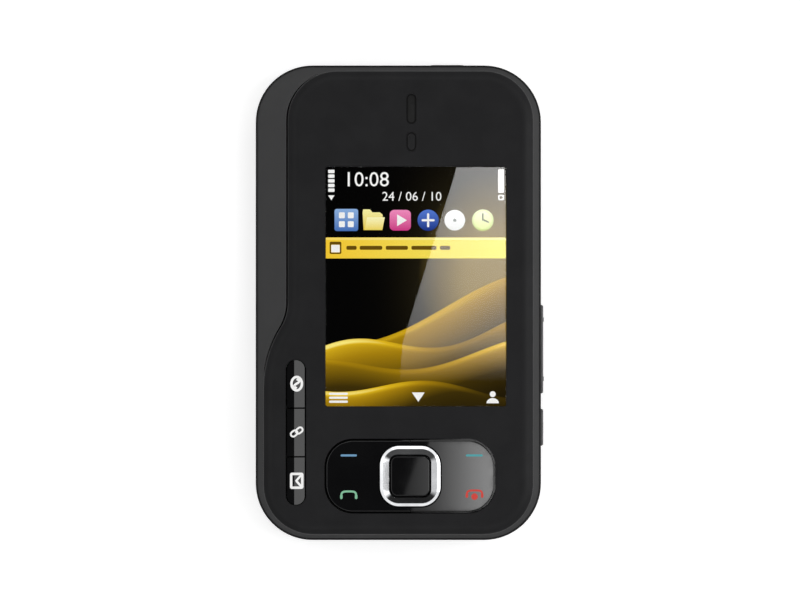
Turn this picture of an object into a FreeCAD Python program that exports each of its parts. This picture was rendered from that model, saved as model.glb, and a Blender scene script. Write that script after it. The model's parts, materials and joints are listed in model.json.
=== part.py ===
"""A pocket phone whose display half slides sideways off a keyboard half.

The phone lies on its back: +Z is up out of the display, +Y runs to the earpiece end and +X to the
side with the volume rocker. The origin is the middle of the back. All sizes are in millimetres.

The base holds the battery, the main board and a four-row keyboard. The slider holds the display
and the front keys, and runs on a pair of steel rails towards +X. Heights follow one stack-up, from
the battery cover to the navigation ring, so a changed thickness moves whatever lies above it.
"""

import FreeCAD, Part
import math
import os
import re

import Sketcher

# Driving sizes, which go into the sheet.
SIZES = {
    # the base seen from the front
    "body_width": 58.3,
    "body_length": 97.0,
    "body_corner": 11.6,
    "side_rim": 1.75,
    "end_rim": 1.45,
    "rim_rise": 1.5,
    "rim_step": 0.35,
    "lip_round": 0.12,
    "back_round": 3.6,
    # the raised ledge along the slider, and the step where it narrows
    "ledge_width": 6.7,
    "step_over_slot": 11.55,
    "step_hollow_radius": 9.6,
    "step_crown_radius": 23.5,
    "slider_corner": 10.0,
    "ledge_hollow_side": 3.0,
    "ledge_hollow_end": 4.0,
    "ledge_hollow_rise": 0.3,
    # the slide
    "slide_travel": 29.0,
    "slide_gap": 0.3,
    "bay_gap": 0.3,
    # gaps used throughout, and how far a cut runs out past a face
    "fit_gap": 0.05,
    "thread_gap": 0.02,
    "end_flat": 0.01,
    "overcut": 1.0,
    # heights of the base, from the back upwards
    "cover_thickness": 1.0,
    "cover_gap": 0.1,
    "battery_gap": 0.15,
    "battery_height": 4.2,
    "roof_thickness": 0.6,
    "board_thickness": 0.8,
    "film_thickness": 0.1,
    "dome_height": 0.15,
    "mat_thickness": 0.4,
    "deck_thickness": 1.0,
    # heights of the slider
    "rail_height": 2.1,
    "plate_thickness": 0.4,
    "front_board_thickness": 0.5,
    "keypad_mat_thickness": 0.3,
    "tray_thickness": 0.2,
    "panel_thickness": 1.5,
    "window_flange": 0.4,
    "front_thickness": 1.1,
    "ring_proud": 0.2,
    # shells
    "wall": 1.3,
    "floor_thickness": 0.9,
    "shelf_thickness": 0.9,
    "deck_land": 0.6,
    "slider_wall": 1.2,
    "front_bevel": 1.4,
    "front_bevel_drop": 1.1,
    "front_crown_round": 2.8,
    "front_lip_round": 0.6,
    "back_edge_round": 0.5,
    "board_inset": 0.3,
    "free_side": 16.65,
    # battery bay and cover
    "cover_from_top": 34.5,
    "bay_side": 9.35,
    "bay_bottom": 5.0,
    "bay_top": 2.5,
    "bay_wall": 0.8,
    "groove_from_line": 4.5,
    "groove_pitch": 1.7,
    "groove_length": 16.0,
    "groove_shortening": 2.0,
    "groove_width": 0.8,
    "groove_depth": 0.35,
    "battery_side_gap": 0.3,
    "battery_corner": 1.2,
    "battery_edge_round": 0.6,
    # battery contacts
    "contact_pitch": 2.5,
    "contact_width": 0.9,
    "contact_height": 1.4,
    "contact_reach": 0.2,
    "contact_root": 0.1,
    "contact_opening": 7.2,
    "contact_opening_height": 2.0,
    "contact_pad_width": 1.8,
    "contact_pad_height": 2.4,
    "contact_pad_depth": 0.45,
    "contact_block_width": 11.0,
    "contact_block_depth": 2.5,
    # keyboard
    "keyboard_end": 8.9,
    "keyboard_side": 0.65,
    "key_gap": 0.35,
    "key_corner": 0.8,
    "key_proud": 0.1,
    "key_travel": 0.3,
    "key_edge": 0.2,
    "deck_key_gap": 0.2,
    "mat_margin": 0.6,
    "mat_hole_gap": 0.15,
    "dome_radius": 1.8,
    # parts on the main board
    "board_hole_gap": 0.25,
    "chip_height": 0.35,
    "can_from_keys": 1.6,
    "can_side": 6.5,
    "can_wall": 0.2,
    "can_roof": 0.15,
    "can_round": 0.6,
    # slide rails
    "rail_end": 1.95,
    "rail_side": 10.5,
    "rail_run": 0.1,
    "rail_flange": 1.9,
    "rail_stop": 0.4,
    "liner_wall": 0.3,
    "plate_lip": 2.5,
    "plate_corner": 0.8,
    "plate_slot_shift": 1.0,
    "plate_slot_from_detent": 7.0,
    "plate_slot_width": 8.0,
    "plate_slot_length": 3.0,
    "plate_slot_round": 1.0,
    "plate_window_shift": 2.0,
    "plate_window_width": 6.0,
    "plate_window_length": 16.0,
    "detent_width": 4.0,
    "detent_side": 20.0,
    "detent_radius": 0.8,
    "detent_hole_gap": 0.2,
    "leaf_length": 6.0,
    "leaf_bend": 2.5,
    "leaf_thickness": 0.25,
    "leaf_tail": 2.6,
    "leaf_tail_drop": 1.05,
    "crest_half": 0.75,
    "crest_drop": 0.5,
    "crest_gap": 0.1,
    "ribbon_width": 8.0,
    "ribbon_thickness": 0.15,
    "ribbon_in": 2.2,
    "ribbon_back": 4.0,
    "ribbon_fold_in": 1.5,
    "ribbon_lift": 0.15,
    "ribbon_drop": 0.25,
    "ribbon_slot": 1.6,
    "ribbon_slot_round": 0.4,
    "ribbon_room": 1.0,
    "connector_width": 0.9,
    # display
    "display_left": 7.65,
    "display_right": 5.5,
    "display_top": 19.4,
    "display_bottom": 26.0,
    "display_corner": 0.5,
    "window_gap": 0.05,
    "window_rest": 1.0,
    "window_rest_corner": 0.6,
    "window_sink": 0.1,
    "window_edge_round": 0.12,
    "panel_margin": 1.4,
    "panel_foot": 3.2,
    "tray_corner": 0.4,
    # front keys
    "pad_left": 12.4,
    "pad_right": 7.6,
    "pad_bottom": 4.3,
    "pad_height": 15.2,
    "pad_corner": 5.8,
    "pad_gap": 0.4,
    "pad_flange": 0.75,
    "front_key_lift": 0.75,
    "front_key_flange": 0.4,
    "key_edge_round": 0.2,
    "gimbal_lift": 0.25,
    "gimbal_thickness": 0.2,
    "gimbal_in": 0.5,
    "gimbal_hole_gap": 0.3,
    "ring_size": 12.2,
    "ring_corner": 3.9,
    "ring_hole_width": 8.6,
    "ring_hole_length": 8.8,
    "ring_hole_corner": 1.7,
    "ring_crest_in": 0.6,
    "ring_bevel_rise": 0.3,
    "ring_dish_depth": 0.2,
    "ring_gap": 0.3,
    "center_gap": 0.4,
    "key_split": 0.15,
    "ring_switch_out": 4.9,
    "key_switch_in": 5.5,
    "key_switch_side": 4.0,
    "side_slot_left": 4.55,
    "side_slot_width": 4.15,
    "side_slot_bottom": 5.95,
    "side_slot_length": 29.6,
    "side_key_gap": 0.3,
    "side_key_low": 0.1,
    "side_key_fold": 1.75,
    "side_key_drop": 0.32,
    "side_flange_in": 1.6,
    "side_flange_round": 0.5,
    "film_in": 1.0,
    "film_corner": 2.0,
    "side_film_in": 2.0,
    "side_film_corner": 1.0,
    "front_dome_radius": 1.3,
    "mat_post_radius": 0.9,
    # earpiece, light sensor and microphone
    "earpiece_from_right": 24.75,
    "earpiece_from_top": 7.75,
    "earpiece_slot_width": 2.0,
    "earpiece_slot_length": 6.1,
    "earpiece_width": 6.4,
    "earpiece_length": 8.6,
    "earpiece_corner": 1.6,
    "earpiece_rim": 1.0,
    "earpiece_shift": 0.6,
    "earpiece_clear": 0.5,
    "earpiece_recess": 0.4,
    "mesh_margin": 0.5,
    "mesh_thickness": 0.4,
    "mesh_sink": 0.12,
    "sensor_from_top": 14.4,
    "sensor_length": 3.9,
    "sensor_margin": 0.4,
    "sensor_thickness": 0.35,
    "sensor_chip": 1.6,
    "sensor_chip_corner": 0.3,
    "plug_root": 0.15,
    "microphone_side": 3.0,
    "microphone_up": 5.0,
    "microphone_radius": 1.6,
    "microphone_height": 1.2,
    "microphone_hole_radius": 0.4,
    "microphone_hole_depth": 0.3,
    # keys in the base's edge
    "rocker_from_top": 48.9,
    "rocker_length": 18.2,
    "camera_key_from_top": 70.2,
    "camera_key_length": 7.6,
    "edge_key_height": 2.2,
    "edge_key_gap": 0.2,
    "edge_key_proud": 0.5,
    "edge_key_round": 0.4,
    "nub_proud": 0.12,
    "nub_size": 0.9,
    "nub_round": 0.3,
    "power_key_side": 10.0,
    "power_key_length": 7.0,
    "power_key_proud": 0.15,
    "power_key_round": 0.3,
    "key_flange": 0.4,
    "key_flange_gap": 0.35,
    "key_lip_length": 0.8,
    "key_lip_height": 0.4,
    "key_lip_round": 0.6,
    "key_room_length": 0.4,
    "key_room_height": 0.2,
    "press_room": 0.65,
    "switch_gap": 0.3,
    "switch_depth": 1.5,
    "switch_length": 3.4,
    "switch_height": 2.2,
    "switch_round": 0.2,
    "plunger_length": 1.2,
    "plunger_height": 0.9,
    # sockets
    "jack_radius": 1.3,
    "jack_length": 11.0,
    "jack_side": 9.5,
    "jack_wall": 0.3,
    "jack_round": 0.6,
    "jack_end": 1.0,
    "jack_face_in": 0.3,
    "socket_from_top": 20.0,
    "socket_length": 7.4,
    "socket_height": 2.3,
    "socket_depth": 5.4,
    "socket_wall": 0.3,
    "socket_round": 0.5,
    "socket_end": 0.7,
    "tongue_in": 1.2,
    "tongue_height": 0.5,
    "tongue_shift": 0.2,
    "tongue_back": 0.4,
    # camera and sounders
    "camera_from_top": 15.5,
    "camera_ring_radius": 5.2,
    "camera_ring_bevel": 0.3,
    "camera_window_radius": 3.6,
    "camera_window_sink": 0.1,
    "camera_shelf": 0.3,
    "camera_hole_radius": 2.7,
    "camera_seat": 1.1,
    "camera_side": 8.6,
    "camera_round": 0.5,
    "camera_barrel_gap": 0.1,
    "camera_bore_radius": 1.3,
    "speaker_gap": 0.3,
    "speaker_from_top": 14.5,
    "speaker_length": 13.0,
    "speaker_height": 2.8,
    "speaker_corner": 1.5,
    "speaker_rim": 1.0,
    "speaker_rim_height": 0.4,
    "speaker_magnet_in": 2.0,
    "speaker_slot_width": 0.9,
    "speaker_slot_round": 0.4,
    # vibration motor, card holder and antenna
    "motor_from_camera": 5.0,
    "motor_radius": 2.0,
    "motor_length": 9.0,
    "motor_shaft_radius": 0.4,
    "motor_shaft_length": 3.5,
    "weight_width": 3.2,
    "weight_height": 1.7,
    "weight_length": 3.0,
    "weight_round": 0.4,
    "holder_from_camera": 10.0,
    "holder_shift": 3.0,
    "holder_width": 15.0,
    "holder_length": 13.0,
    "holder_height": 1.7,
    "holder_round": 0.5,
    "holder_back": 1.0,
    "holder_wall": 0.6,
    "holder_floor": 0.2,
    "card_height": 1.0,
    "antenna_from_jack": 2.3,
    "antenna_from_key": 4.5,
    "antenna_from_camera": 7.0,
    "antenna_end_gap": 0.3,
    "antenna_height": 2.6,
    "antenna_corner": 0.8,
    "track_in": 1.0,
    "track_width": 1.0,
    "track_length": 4.0,
    # fasteners
    "screw_radius": 0.6,
    "screw_head_radius": 1.25,
    "screw_head_height": 0.7,
    "screw_neck": 0.3,
    "boss_radius": 1.9,
    "boss_roof": 0.4,
    "screw_side": 5.6,
    "screw_low": 16.5,
    "screw_high": 6.0,
    "small_screw_radius": 0.5,
    "small_head_radius": 1.0,
    "small_head_height": 0.5,
    "small_hole_gap": 0.1,
    "tip_gap": 0.1,
    "recess_depth": 0.25,
    "plate_screw_side": 2.0,
    "plate_screw_end": 3.5,
    "frame_screw_side": 3.0,
    "frame_screw_end": 1.4,
    "frame_floor": 0.5,
    "head_hole_gap": 0.3,
    "post_radius": 1.15,
    "post_hole_gap": 0.2,
    "post_roof": 0.3,
    "post_in": 5.2,
    "low_post_side": 6.5,
    "low_post_end": 4.6,
}

# Places worked out from the driving sizes.
PLACES = {
    "body_right": "body_width / 2",
    "body_top": "body_length / 2",
    "cover_space": "cover_thickness + cover_gap",
    "floor_top": "cover_space + floor_thickness",
    "battery_low": "cover_thickness + battery_gap",
    "bay_roof": "battery_low + battery_height + battery_gap",
    "board_low": "bay_roof + roof_thickness + fit_gap",
    "board_top": "board_low + board_thickness",
    "dome_top": "board_top + film_thickness + dome_height",
    "mat_low": "dome_top + fit_gap",
    "mat_top": "mat_low + mat_thickness",
    "deck_under": "mat_top + fit_gap",
    "deck_top": "deck_under + deck_thickness",
    "belt_top": "deck_top - rim_rise",
    "ledge_top": "belt_top + (ledge_width - rim_step) * rim_rise / (side_rim - rim_step)",
    "shelf_top": "back_round + shelf_thickness",
    "slider_low": "deck_top + slide_gap",
    "plate_low": "slider_low + rail_height",
    "plate_top": "plate_low + plate_thickness",
    "front_board_low": "plate_top + fit_gap",
    "front_board_top": "front_board_low + front_board_thickness",
    "front_dome_top": "front_board_top + film_thickness + dome_height",
    "keypad_mat_low": "front_dome_top + fit_gap",
    "keypad_mat_top": "keypad_mat_low + keypad_mat_thickness",
    "tray_low": "front_board_top + fit_gap",
    "panel_low": "tray_low + tray_thickness",
    "panel_top": "panel_low + panel_thickness",
    "window_low": "panel_top + fit_gap",
    "front_under": "window_low + window_flange + fit_gap",
    "front_top": "front_under + front_thickness",
    "slider_right": "body_right - side_rim",
    "slider_left": "side_rim - body_right",
    "slider_left_upper": "ledge_width - body_right",
    "slider_top": "body_top - end_rim",
    "slider_bottom": "end_rim - body_top",
    "step_start": "side_y1 + step_over_slot",
    "step_share": "(ledge_width - side_rim) / (step_hollow_radius + step_crown_radius)",
    "step_end": "step_start - (step_hollow_radius + step_crown_radius) * sqrt(step_share * (2 - step_share))",
    "cover_line": "body_top - cover_from_top",
    "bay_right": "body_right - bay_side",
    "bay_low_end": "bay_bottom - body_top",
    "bay_high_end": "cover_line - bay_top",
    "keys_left": "slider_left_upper + keyboard_side",
    "keys_right": "slider_left + slide_travel - keyboard_side",
    "keys_top": "body_top - keyboard_end",
    "row_pitch": "(keys_right - keys_left) / 4",
    "column_pitch": "2 * keys_top / 11",
    "key_low": "mat_top + key_travel + fit_gap",
    "key_high": "deck_top + key_proud",
    "rail_left": "slider_left_upper + rail_end",
    "rail_right": "slider_right - rail_end",
    "runner_left": "rail_left + slide_travel",
    "rail_out": "slider_top - rail_side",
    "flange_low": "slider_low + rail_height / 5",
    "rail_middle": "(flange_low + plate_thickness + plate_low) / 2",
    "runner_out": "rail_out - plate_thickness - fit_gap - liner_wall - rail_run",
    "flange_in": "rail_out - plate_thickness - rail_flange",
    "upright_out": "flange_in - 3 * rail_run",
    "side_x": "(side_x0 + side_x1) / 2",
    "contact_z": "battery_low + battery_height / 2",
    "detent_x": "(runner_left + rail_right) / 2",
    "ribbon_x0": "rail_right - ribbon_in",
    "ribbon_x1": "ribbon_x0 - ribbon_back",
    "front_key_low": "keypad_mat_top + front_key_lift",
    "front_key_top": "front_key_low + front_key_flange",
    "post_top": "front_key_low - key_travel - fit_gap",
    "display_x0": "slider_left_upper + display_left",
    "display_x1": "slider_right - display_right",
    "display_y0": "slider_bottom + display_bottom",
    "display_y1": "slider_top - display_top",
    "pad_x0": "slider_left + pad_left",
    "pad_x1": "slider_right - pad_right",
    "pad_y0": "slider_bottom + pad_bottom",
    "pad_y1": "pad_y0 + pad_height",
    "ring_x": "(pad_x0 + pad_x1) / 2",
    "ring_y": "(pad_y0 + pad_y1) / 2",
    "side_x0": "slider_left + side_slot_left",
    "side_x1": "side_x0 + side_slot_width",
    "side_y0": "slider_bottom + side_slot_bottom",
    "side_y1": "side_y0 + side_slot_length",
    "earpiece_x": "slider_right - earpiece_from_right",
    "earpiece_y": "slider_top - earpiece_from_top",
    "sensor_y": "slider_top - sensor_from_top",
    "edge_key_z": "(back_round + belt_top) / 2",
    "key_room": "wall + key_flange_gap + key_flange + press_room + switch_gap",
    "key_room_side": "key_lip_length + key_room_length",
    "key_room_low": "edge_key_z - edge_key_height / 2 - key_lip_height - key_room_height",
    "switch_x1": "body_right - key_room",
    "switch_y1": "body_top - key_room",
    "switch_z": "board_low - fit_gap - switch_height / 2",
    "rocker_y": "body_top - rocker_from_top - rocker_length / 2",
    "camera_key_y": "body_top - camera_key_from_top - camera_key_length / 2",
    "jack_z": "board_low - fit_gap - jack_wall - jack_radius",
    "socket_z1": "board_low - fit_gap",
    "socket_y": "body_top - socket_from_top",
    "camera_y": "body_top - camera_from_top",
    "speaker_x0": "wall + fit_gap + socket_depth - body_right",
    "speaker_x1": "0 - jack_side - jack_radius - jack_wall - speaker_gap",
    "speaker_x": "(speaker_x0 + speaker_x1) / 2",
    "speaker_width": "speaker_x1 - speaker_x0",
    "speaker_slot_pitch": "speaker_length / 7",
    "free_x": "body_right - free_side",
    "can_x0": "keys_right + can_from_keys",
    "can_width": "free_x + can_side - can_x0",
    "free_low": "floor_top + fit_gap",
    "speaker_y": "body_top - speaker_from_top",
    "screw_x": "body_right - screw_side",
    "screw_y0": "screw_low - body_top",
    "screw_y1": "cover_line - screw_high",
    "deck_plate_top": "deck_top + plate_thickness",
    "plug_low": "front_under - fit_gap - plug_root",
}

document = FreeCAD.newDocument("SliderPhone")
sheet = document.addObject("Spreadsheet::Sheet", "Sizes")
for row, (name, size) in enumerate(SIZES.items(), 1):
    sheet.set(f"A{row}", name)
    sheet.set(f"B{row}", str(size))
    sheet.setAlias(f"B{row}", name)
document.recompute()

pieces = {}


# ---------------------------------------------------------------- expressions
def bound(text):
    """An expression on the sheet's cells, with every derived place written out."""

    def word(found):
        name = found.group(0)
        if name in PLACES:
            return "(" + bound(PLACES[name]) + ")"
        return "Sizes." + name if name in SIZES else name

    return re.sub(r"[a-z][a-z0-9_]*", word, str(text))


def value(text):
    """The number that an expression has now."""
    result = sheet.evalExpression(bound(text))
    return float(getattr(result, "Value", result))


# ---------------------------------------------------------------- sketch outlines
def fix(sketch, constraint, text):
    """Adds a dimension to a sketch and ties it to an expression."""
    number = sketch.addConstraint(constraint)
    sketch.setExpression(f"Constraints[{number}]", bound(text))


def place_point(sketch, element, point, x, y):
    """Dimensions a point from the sketch's origin; None leaves that direction free."""
    for kind, text in (("DistanceX", x), ("DistanceY", y)):
        if text is not None:
            fix(sketch, Sketcher.Constraint(kind, -1, 1, element, point, value(text)), text)


def add_chain(sketch, chain):
    """Draws a closed chain of lines and arcs. Each entry is (geometry, entry point, exit point, smooth),
    and smooth says whether it leaves tangent to the next one. Returns the elements' numbers."""
    numbers = [sketch.addGeometry(entry[0]) for entry in chain]
    for place, (_, _, leave, smooth) in enumerate(chain):
        following = (place + 1) % len(chain)
        kind = "Tangent" if smooth else "Coincident"
        sketch.addConstraint(
            Sketcher.Constraint(kind, numbers[place], leave, numbers[following], chain[following][1])
        )
    return numbers


def line(x0, y0, x1, y1):
    return Part.LineSegment(FreeCAD.Vector(x0, y0, 0), FreeCAD.Vector(x1, y1, 0))


def arc(x, y, radius, start, end):
    """An arc that runs anticlockwise from start to end, in degrees."""
    circle = Part.Circle(FreeCAD.Vector(x, y, 0), FreeCAD.Vector(0, 0, 1), radius)
    return Part.ArcOfCircle(circle, math.radians(start), math.radians(end))


def box(x0, x1, y0, y1, radius=None, corners="1111"):
    """A rectangle. corners says which corners take the radius, anticlockwise from the lower left one."""

    def draw(sketch):
        left, right, low, high = value(x0), value(x1), value(y0), value(y1)
        round_by = value(radius) if radius else 0
        r = [round_by if radius and flag == "1" else 0 for flag in corners]
        sides = [
            line(left + r[0], low, right - r[1], low),
            line(right, low + r[1], right, high - r[2]),
            line(right - r[2], high, left + r[3], high),
            line(left, high - r[3], left, low + r[0]),
        ]
        centres = [(left, low, 1, 1), (right, low, -1, 1), (right, high, -1, -1), (left, high, 1, -1)]
        chain, kinds = [], []
        for side in range(4):
            after = (side + 1) % 4
            chain.append((sides[side], 1, 2, r[after] > 0))
            kinds.append("side")
            if r[after] > 0:
                x, y, to_right, to_top = centres[after]
                centre = (x + to_right * r[after], y + to_top * r[after])
                chain.append((arc(*centre, r[after], 270 + 90 * side, 360 + 90 * side), 1, 2, True))
                kinds.append("corner")
        numbers = add_chain(sketch, chain)
        side_numbers = [n for n, kind in zip(numbers, kinds) if kind == "side"]
        for n, kind in zip(side_numbers, ("Horizontal", "Vertical", "Horizontal", "Vertical")):
            sketch.addConstraint(Sketcher.Constraint(kind, n))
        for n, x, y in zip(side_numbers, (None, x1, None, x0), (y0, None, y1, None)):
            place_point(sketch, n, 1, x, y)
        for n, kind in zip(numbers, kinds):
            if kind == "corner":
                fix(sketch, Sketcher.Constraint("Radius", n, round_by), radius)

    return draw


def around(x, y, width, length, radius=None):
    """A rectangle about a middle point."""
    return box(
        f"{x} - ({width}) / 2",
        f"{x} + ({width}) / 2",
        f"{y} - ({length}) / 2",
        f"{y} + ({length}) / 2",
        radius,
    )


def body_outline(inset="0", low=None, high=None):
    """The base's outline, moved inwards by inset, and cut straight at low or high if they are given."""
    corners = ("00" if low else "11") + ("00" if high else "11")
    return box(
        f"{inset} - body_right",
        f"body_right - ({inset})",
        low or f"{inset} - body_top",
        high or f"body_top - ({inset})",
        f"body_corner - ({inset})",
        corners,
    )


def circles(radius, *centres):
    def draw(sketch):
        for x, y in centres:
            shape = Part.Circle(FreeCAD.Vector(value(x), value(y), 0), FreeCAD.Vector(0, 0, 1), value(radius))
            number = sketch.addGeometry(shape)
            fix(sketch, Sketcher.Constraint("Radius", number, value(radius)), radius)
            place_point(sketch, number, 3, x, y)

    return draw


def polygon(*points):
    def draw(sketch):
        spots = [(value(x), value(y)) for x, y in points]
        sides = [line(*spot, *spots[(n + 1) % len(spots)]) for n, spot in enumerate(spots)]
        numbers = add_chain(sketch, [(side, 1, 2, False) for side in sides])
        for number, (x, y) in zip(numbers, points):
            place_point(sketch, number, 1, x, y)

    return draw


def several(*drawings):
    def draw(sketch):
        for drawing in drawings:
            drawing(sketch)

    return draw


def slider_outline(grow="0"):
    """The slider's outline, moved outwards by grow. Its left side steps in beside the wide ledge,
    over a hollow arc and a crown arc that share a tangent."""

    def draw(sketch):
        out = value(grow)
        right, left = value("slider_right") + out, value("slider_left") - out
        upper = value("slider_left_upper") - out
        top, low = value("slider_top") + out, value("slider_bottom") - out
        corner = value("slider_corner") + out
        hollow, crown = value("step_hollow_radius") - out, value("step_crown_radius") + out
        start, end = value("step_start"), value("step_end")
        turn = math.degrees(math.acos(1 - value("step_share")))
        chain = [
            (line(left + corner, low, right - corner, low), 1, 2, True),
            (arc(right - corner, low + corner, corner, 270, 360), 1, 2, True),
            (line(right, low + corner, right, top - corner), 1, 2, True),
            (arc(right - corner, top - corner, corner, 0, 90), 1, 2, True),
            (line(right - corner, top, upper + corner, top), 1, 2, True),
            (arc(upper + corner, top - corner, corner, 90, 180), 1, 2, True),
            (line(upper, top - corner, upper, start), 1, 2, True),
            (arc(upper - hollow, start, hollow, 360 - turn, 360), 2, 1, True),
            (arc(left + crown, end, crown, 180 - turn, 180), 1, 2, True),
            (line(left, end, left, low + corner), 1, 2, True),
            (arc(left + corner, low + corner, corner, 180, 270), 1, 2, True),
        ]
        n = add_chain(sketch, chain)
        for side, kind in ((0, "Horizontal"), (2, "Vertical"), (4, "Horizontal"), (6, "Vertical"),
                           (9, "Vertical")):
            sketch.addConstraint(Sketcher.Constraint(kind, n[side]))
        place_point(sketch, n[0], 1, None, f"slider_bottom - ({grow})")
        place_point(sketch, n[2], 1, f"slider_right + ({grow})", None)
        place_point(sketch, n[4], 1, None, f"slider_top + ({grow})")
        place_point(sketch, n[6], 1, f"slider_left_upper - ({grow})", None)
        place_point(sketch, n[9], 1, f"slider_left - ({grow})", None)
        place_point(sketch, n[7], 3, None, "step_start")
        for side in (1, 3, 5, 10):
            fix(sketch, Sketcher.Constraint("Radius", n[side], corner), f"slider_corner + ({grow})")
        fix(sketch, Sketcher.Constraint("Radius", n[7], hollow), f"step_hollow_radius - ({grow})")
        fix(sketch, Sketcher.Constraint("Radius", n[8], crown), f"step_crown_radius + ({grow})")

    return draw


# ---------------------------------------------------------------- bodies
class Piece:
    """One sub-part: a body whose features are added from low to high along the axis across a plane."""

    def __init__(self, name):
        self.body = document.addObject("PartDesign::Body", name)
        self.body.Label = name
        self.body.AllowCompound = True
        pieces[name] = self.body

    def sketch(self, draw, low, high, plane):
        """A sketch across Z at low, across X at low, or across Y at high, whose normal is -Y."""
        found = self.body.newObject("Sketcher::SketchObject", "outline")
        support = [f for f in self.body.Origin.OriginFeatures if f.Role == plane + "_Plane"][0]
        found.AttachmentSupport = [(support, "")]
        found.MapMode = "FlatFace"
        offset = f"-({high})" if plane == "XZ" else low
        found.setExpression(".AttachmentOffset.Base.z", bound(offset))
        draw(found)
        return found

    def feature(self, kind, draw, low, high, plane):
        profile = self.sketch(draw, low, high, plane)
        made = self.body.newObject("PartDesign::" + kind, kind.lower())
        made.Profile = profile
        made.setExpression("Length", bound(f"({high}) - ({low})"))
        return made

    def pad(self, draw, low, high, plane="XY", taper=None):
        made = self.feature("Pad", draw, low, high, plane)
        if taper:
            made.setExpression("TaperAngle", bound(taper))
        document.recompute()
        return self

    def pocket(self, draw, low, high, plane="XY"):
        before = self.body.Shape.Volume
        made = self.feature("Pocket", draw, low, high, plane)
        made.Reversed = True
        document.recompute()
        if not self.body.Shape.Volume < before - 1e-6:
            raise ValueError(f"{self.body.Label}: a pocket cuts nothing")
        return self

    def dress(self, kind, size_name, size, choose):
        """A fillet or chamfer on the edges that choose picks from the last feature."""
        base = self.body.Tip
        names = [f"Edge{n}" for n, edge in enumerate(base.Shape.Edges, 1) if choose(edge)]
        if not names:
            raise ValueError(f"{self.body.Label}: no edge to dress")
        made = self.body.newObject("PartDesign::" + kind, kind.lower())
        made.Base = (base, names)
        made.setExpression(size_name, bound(size))
        document.recompute()
        return self

    def repeat(self, axis, length, count):
        """Repeats the last feature along an axis of the body, count times over length."""
        base = self.body.Tip
        made = self.body.newObject("PartDesign::LinearPattern", "repeat")
        made.Originals = [base]
        made.Direction = ([f for f in self.body.Origin.OriginFeatures if f.Role == axis + "_Axis"][0], [""])
        self.body.Tip = made
        made.setExpression("Length", bound(length))
        made.Occurrences = count
        made.Reversed = True
        document.recompute()
        return self

    def cut(self, *others):
        """Takes other bodies away from this one. They are tools, and aren't pieces themselves."""
        for other in others:
            pieces.pop(other.body.Label)
        made = self.body.newObject("PartDesign::Boolean", "cut")
        made.Type = "Cut"
        made.setObjects([other.body for other in others])
        document.recompute()
        return self

    def fillet(self, radius, choose):
        return self.dress("Fillet", "Radius", radius, choose)

    def chamfer(self, size, choose):
        return self.dress("Chamfer", "Size", size, choose)


def points_of(edge):
    first, last = edge.ParameterRange
    return [edge.valueAt(first + (last - first) * share) for share in (0, 0.25, 0.5, 0.75, 1)]


def level(z, *also):
    """Picks the edges that lie flat at height z, and for which every other test holds too."""
    height = value(z)

    def choose(edge):
        spots = points_of(edge)
        return all(abs(p.z - height) < 1e-4 for p in spots) and all(test(spots) for test in also)

    return choose


def off_line(y):
    """True for an edge that doesn't lie along the line at y."""
    place = value(y)
    return lambda spots: any(abs(p.y - place) > 1e-3 for p in spots)


# ---------------------------------------------------------------- base shells
SCREWS = (("screw_x", "screw_y0"), ("-screw_x", "screw_y0"), ("screw_x", "screw_y1"), ("-screw_x", "screw_y1"))
EDGE_KEYS = (("volume_rocker", "rocker_y", "rocker_length"), ("camera_key", "camera_key_y", "camera_key_length"))


def edge_opening(middle, length):
    """The opening in the belt for a key."""
    return around(middle, "edge_key_z", f"{length} + 2 * edge_key_gap", "edge_key_height + 2 * edge_key_gap",
                  "edge_key_height / 2 + edge_key_gap - end_flat")


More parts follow.
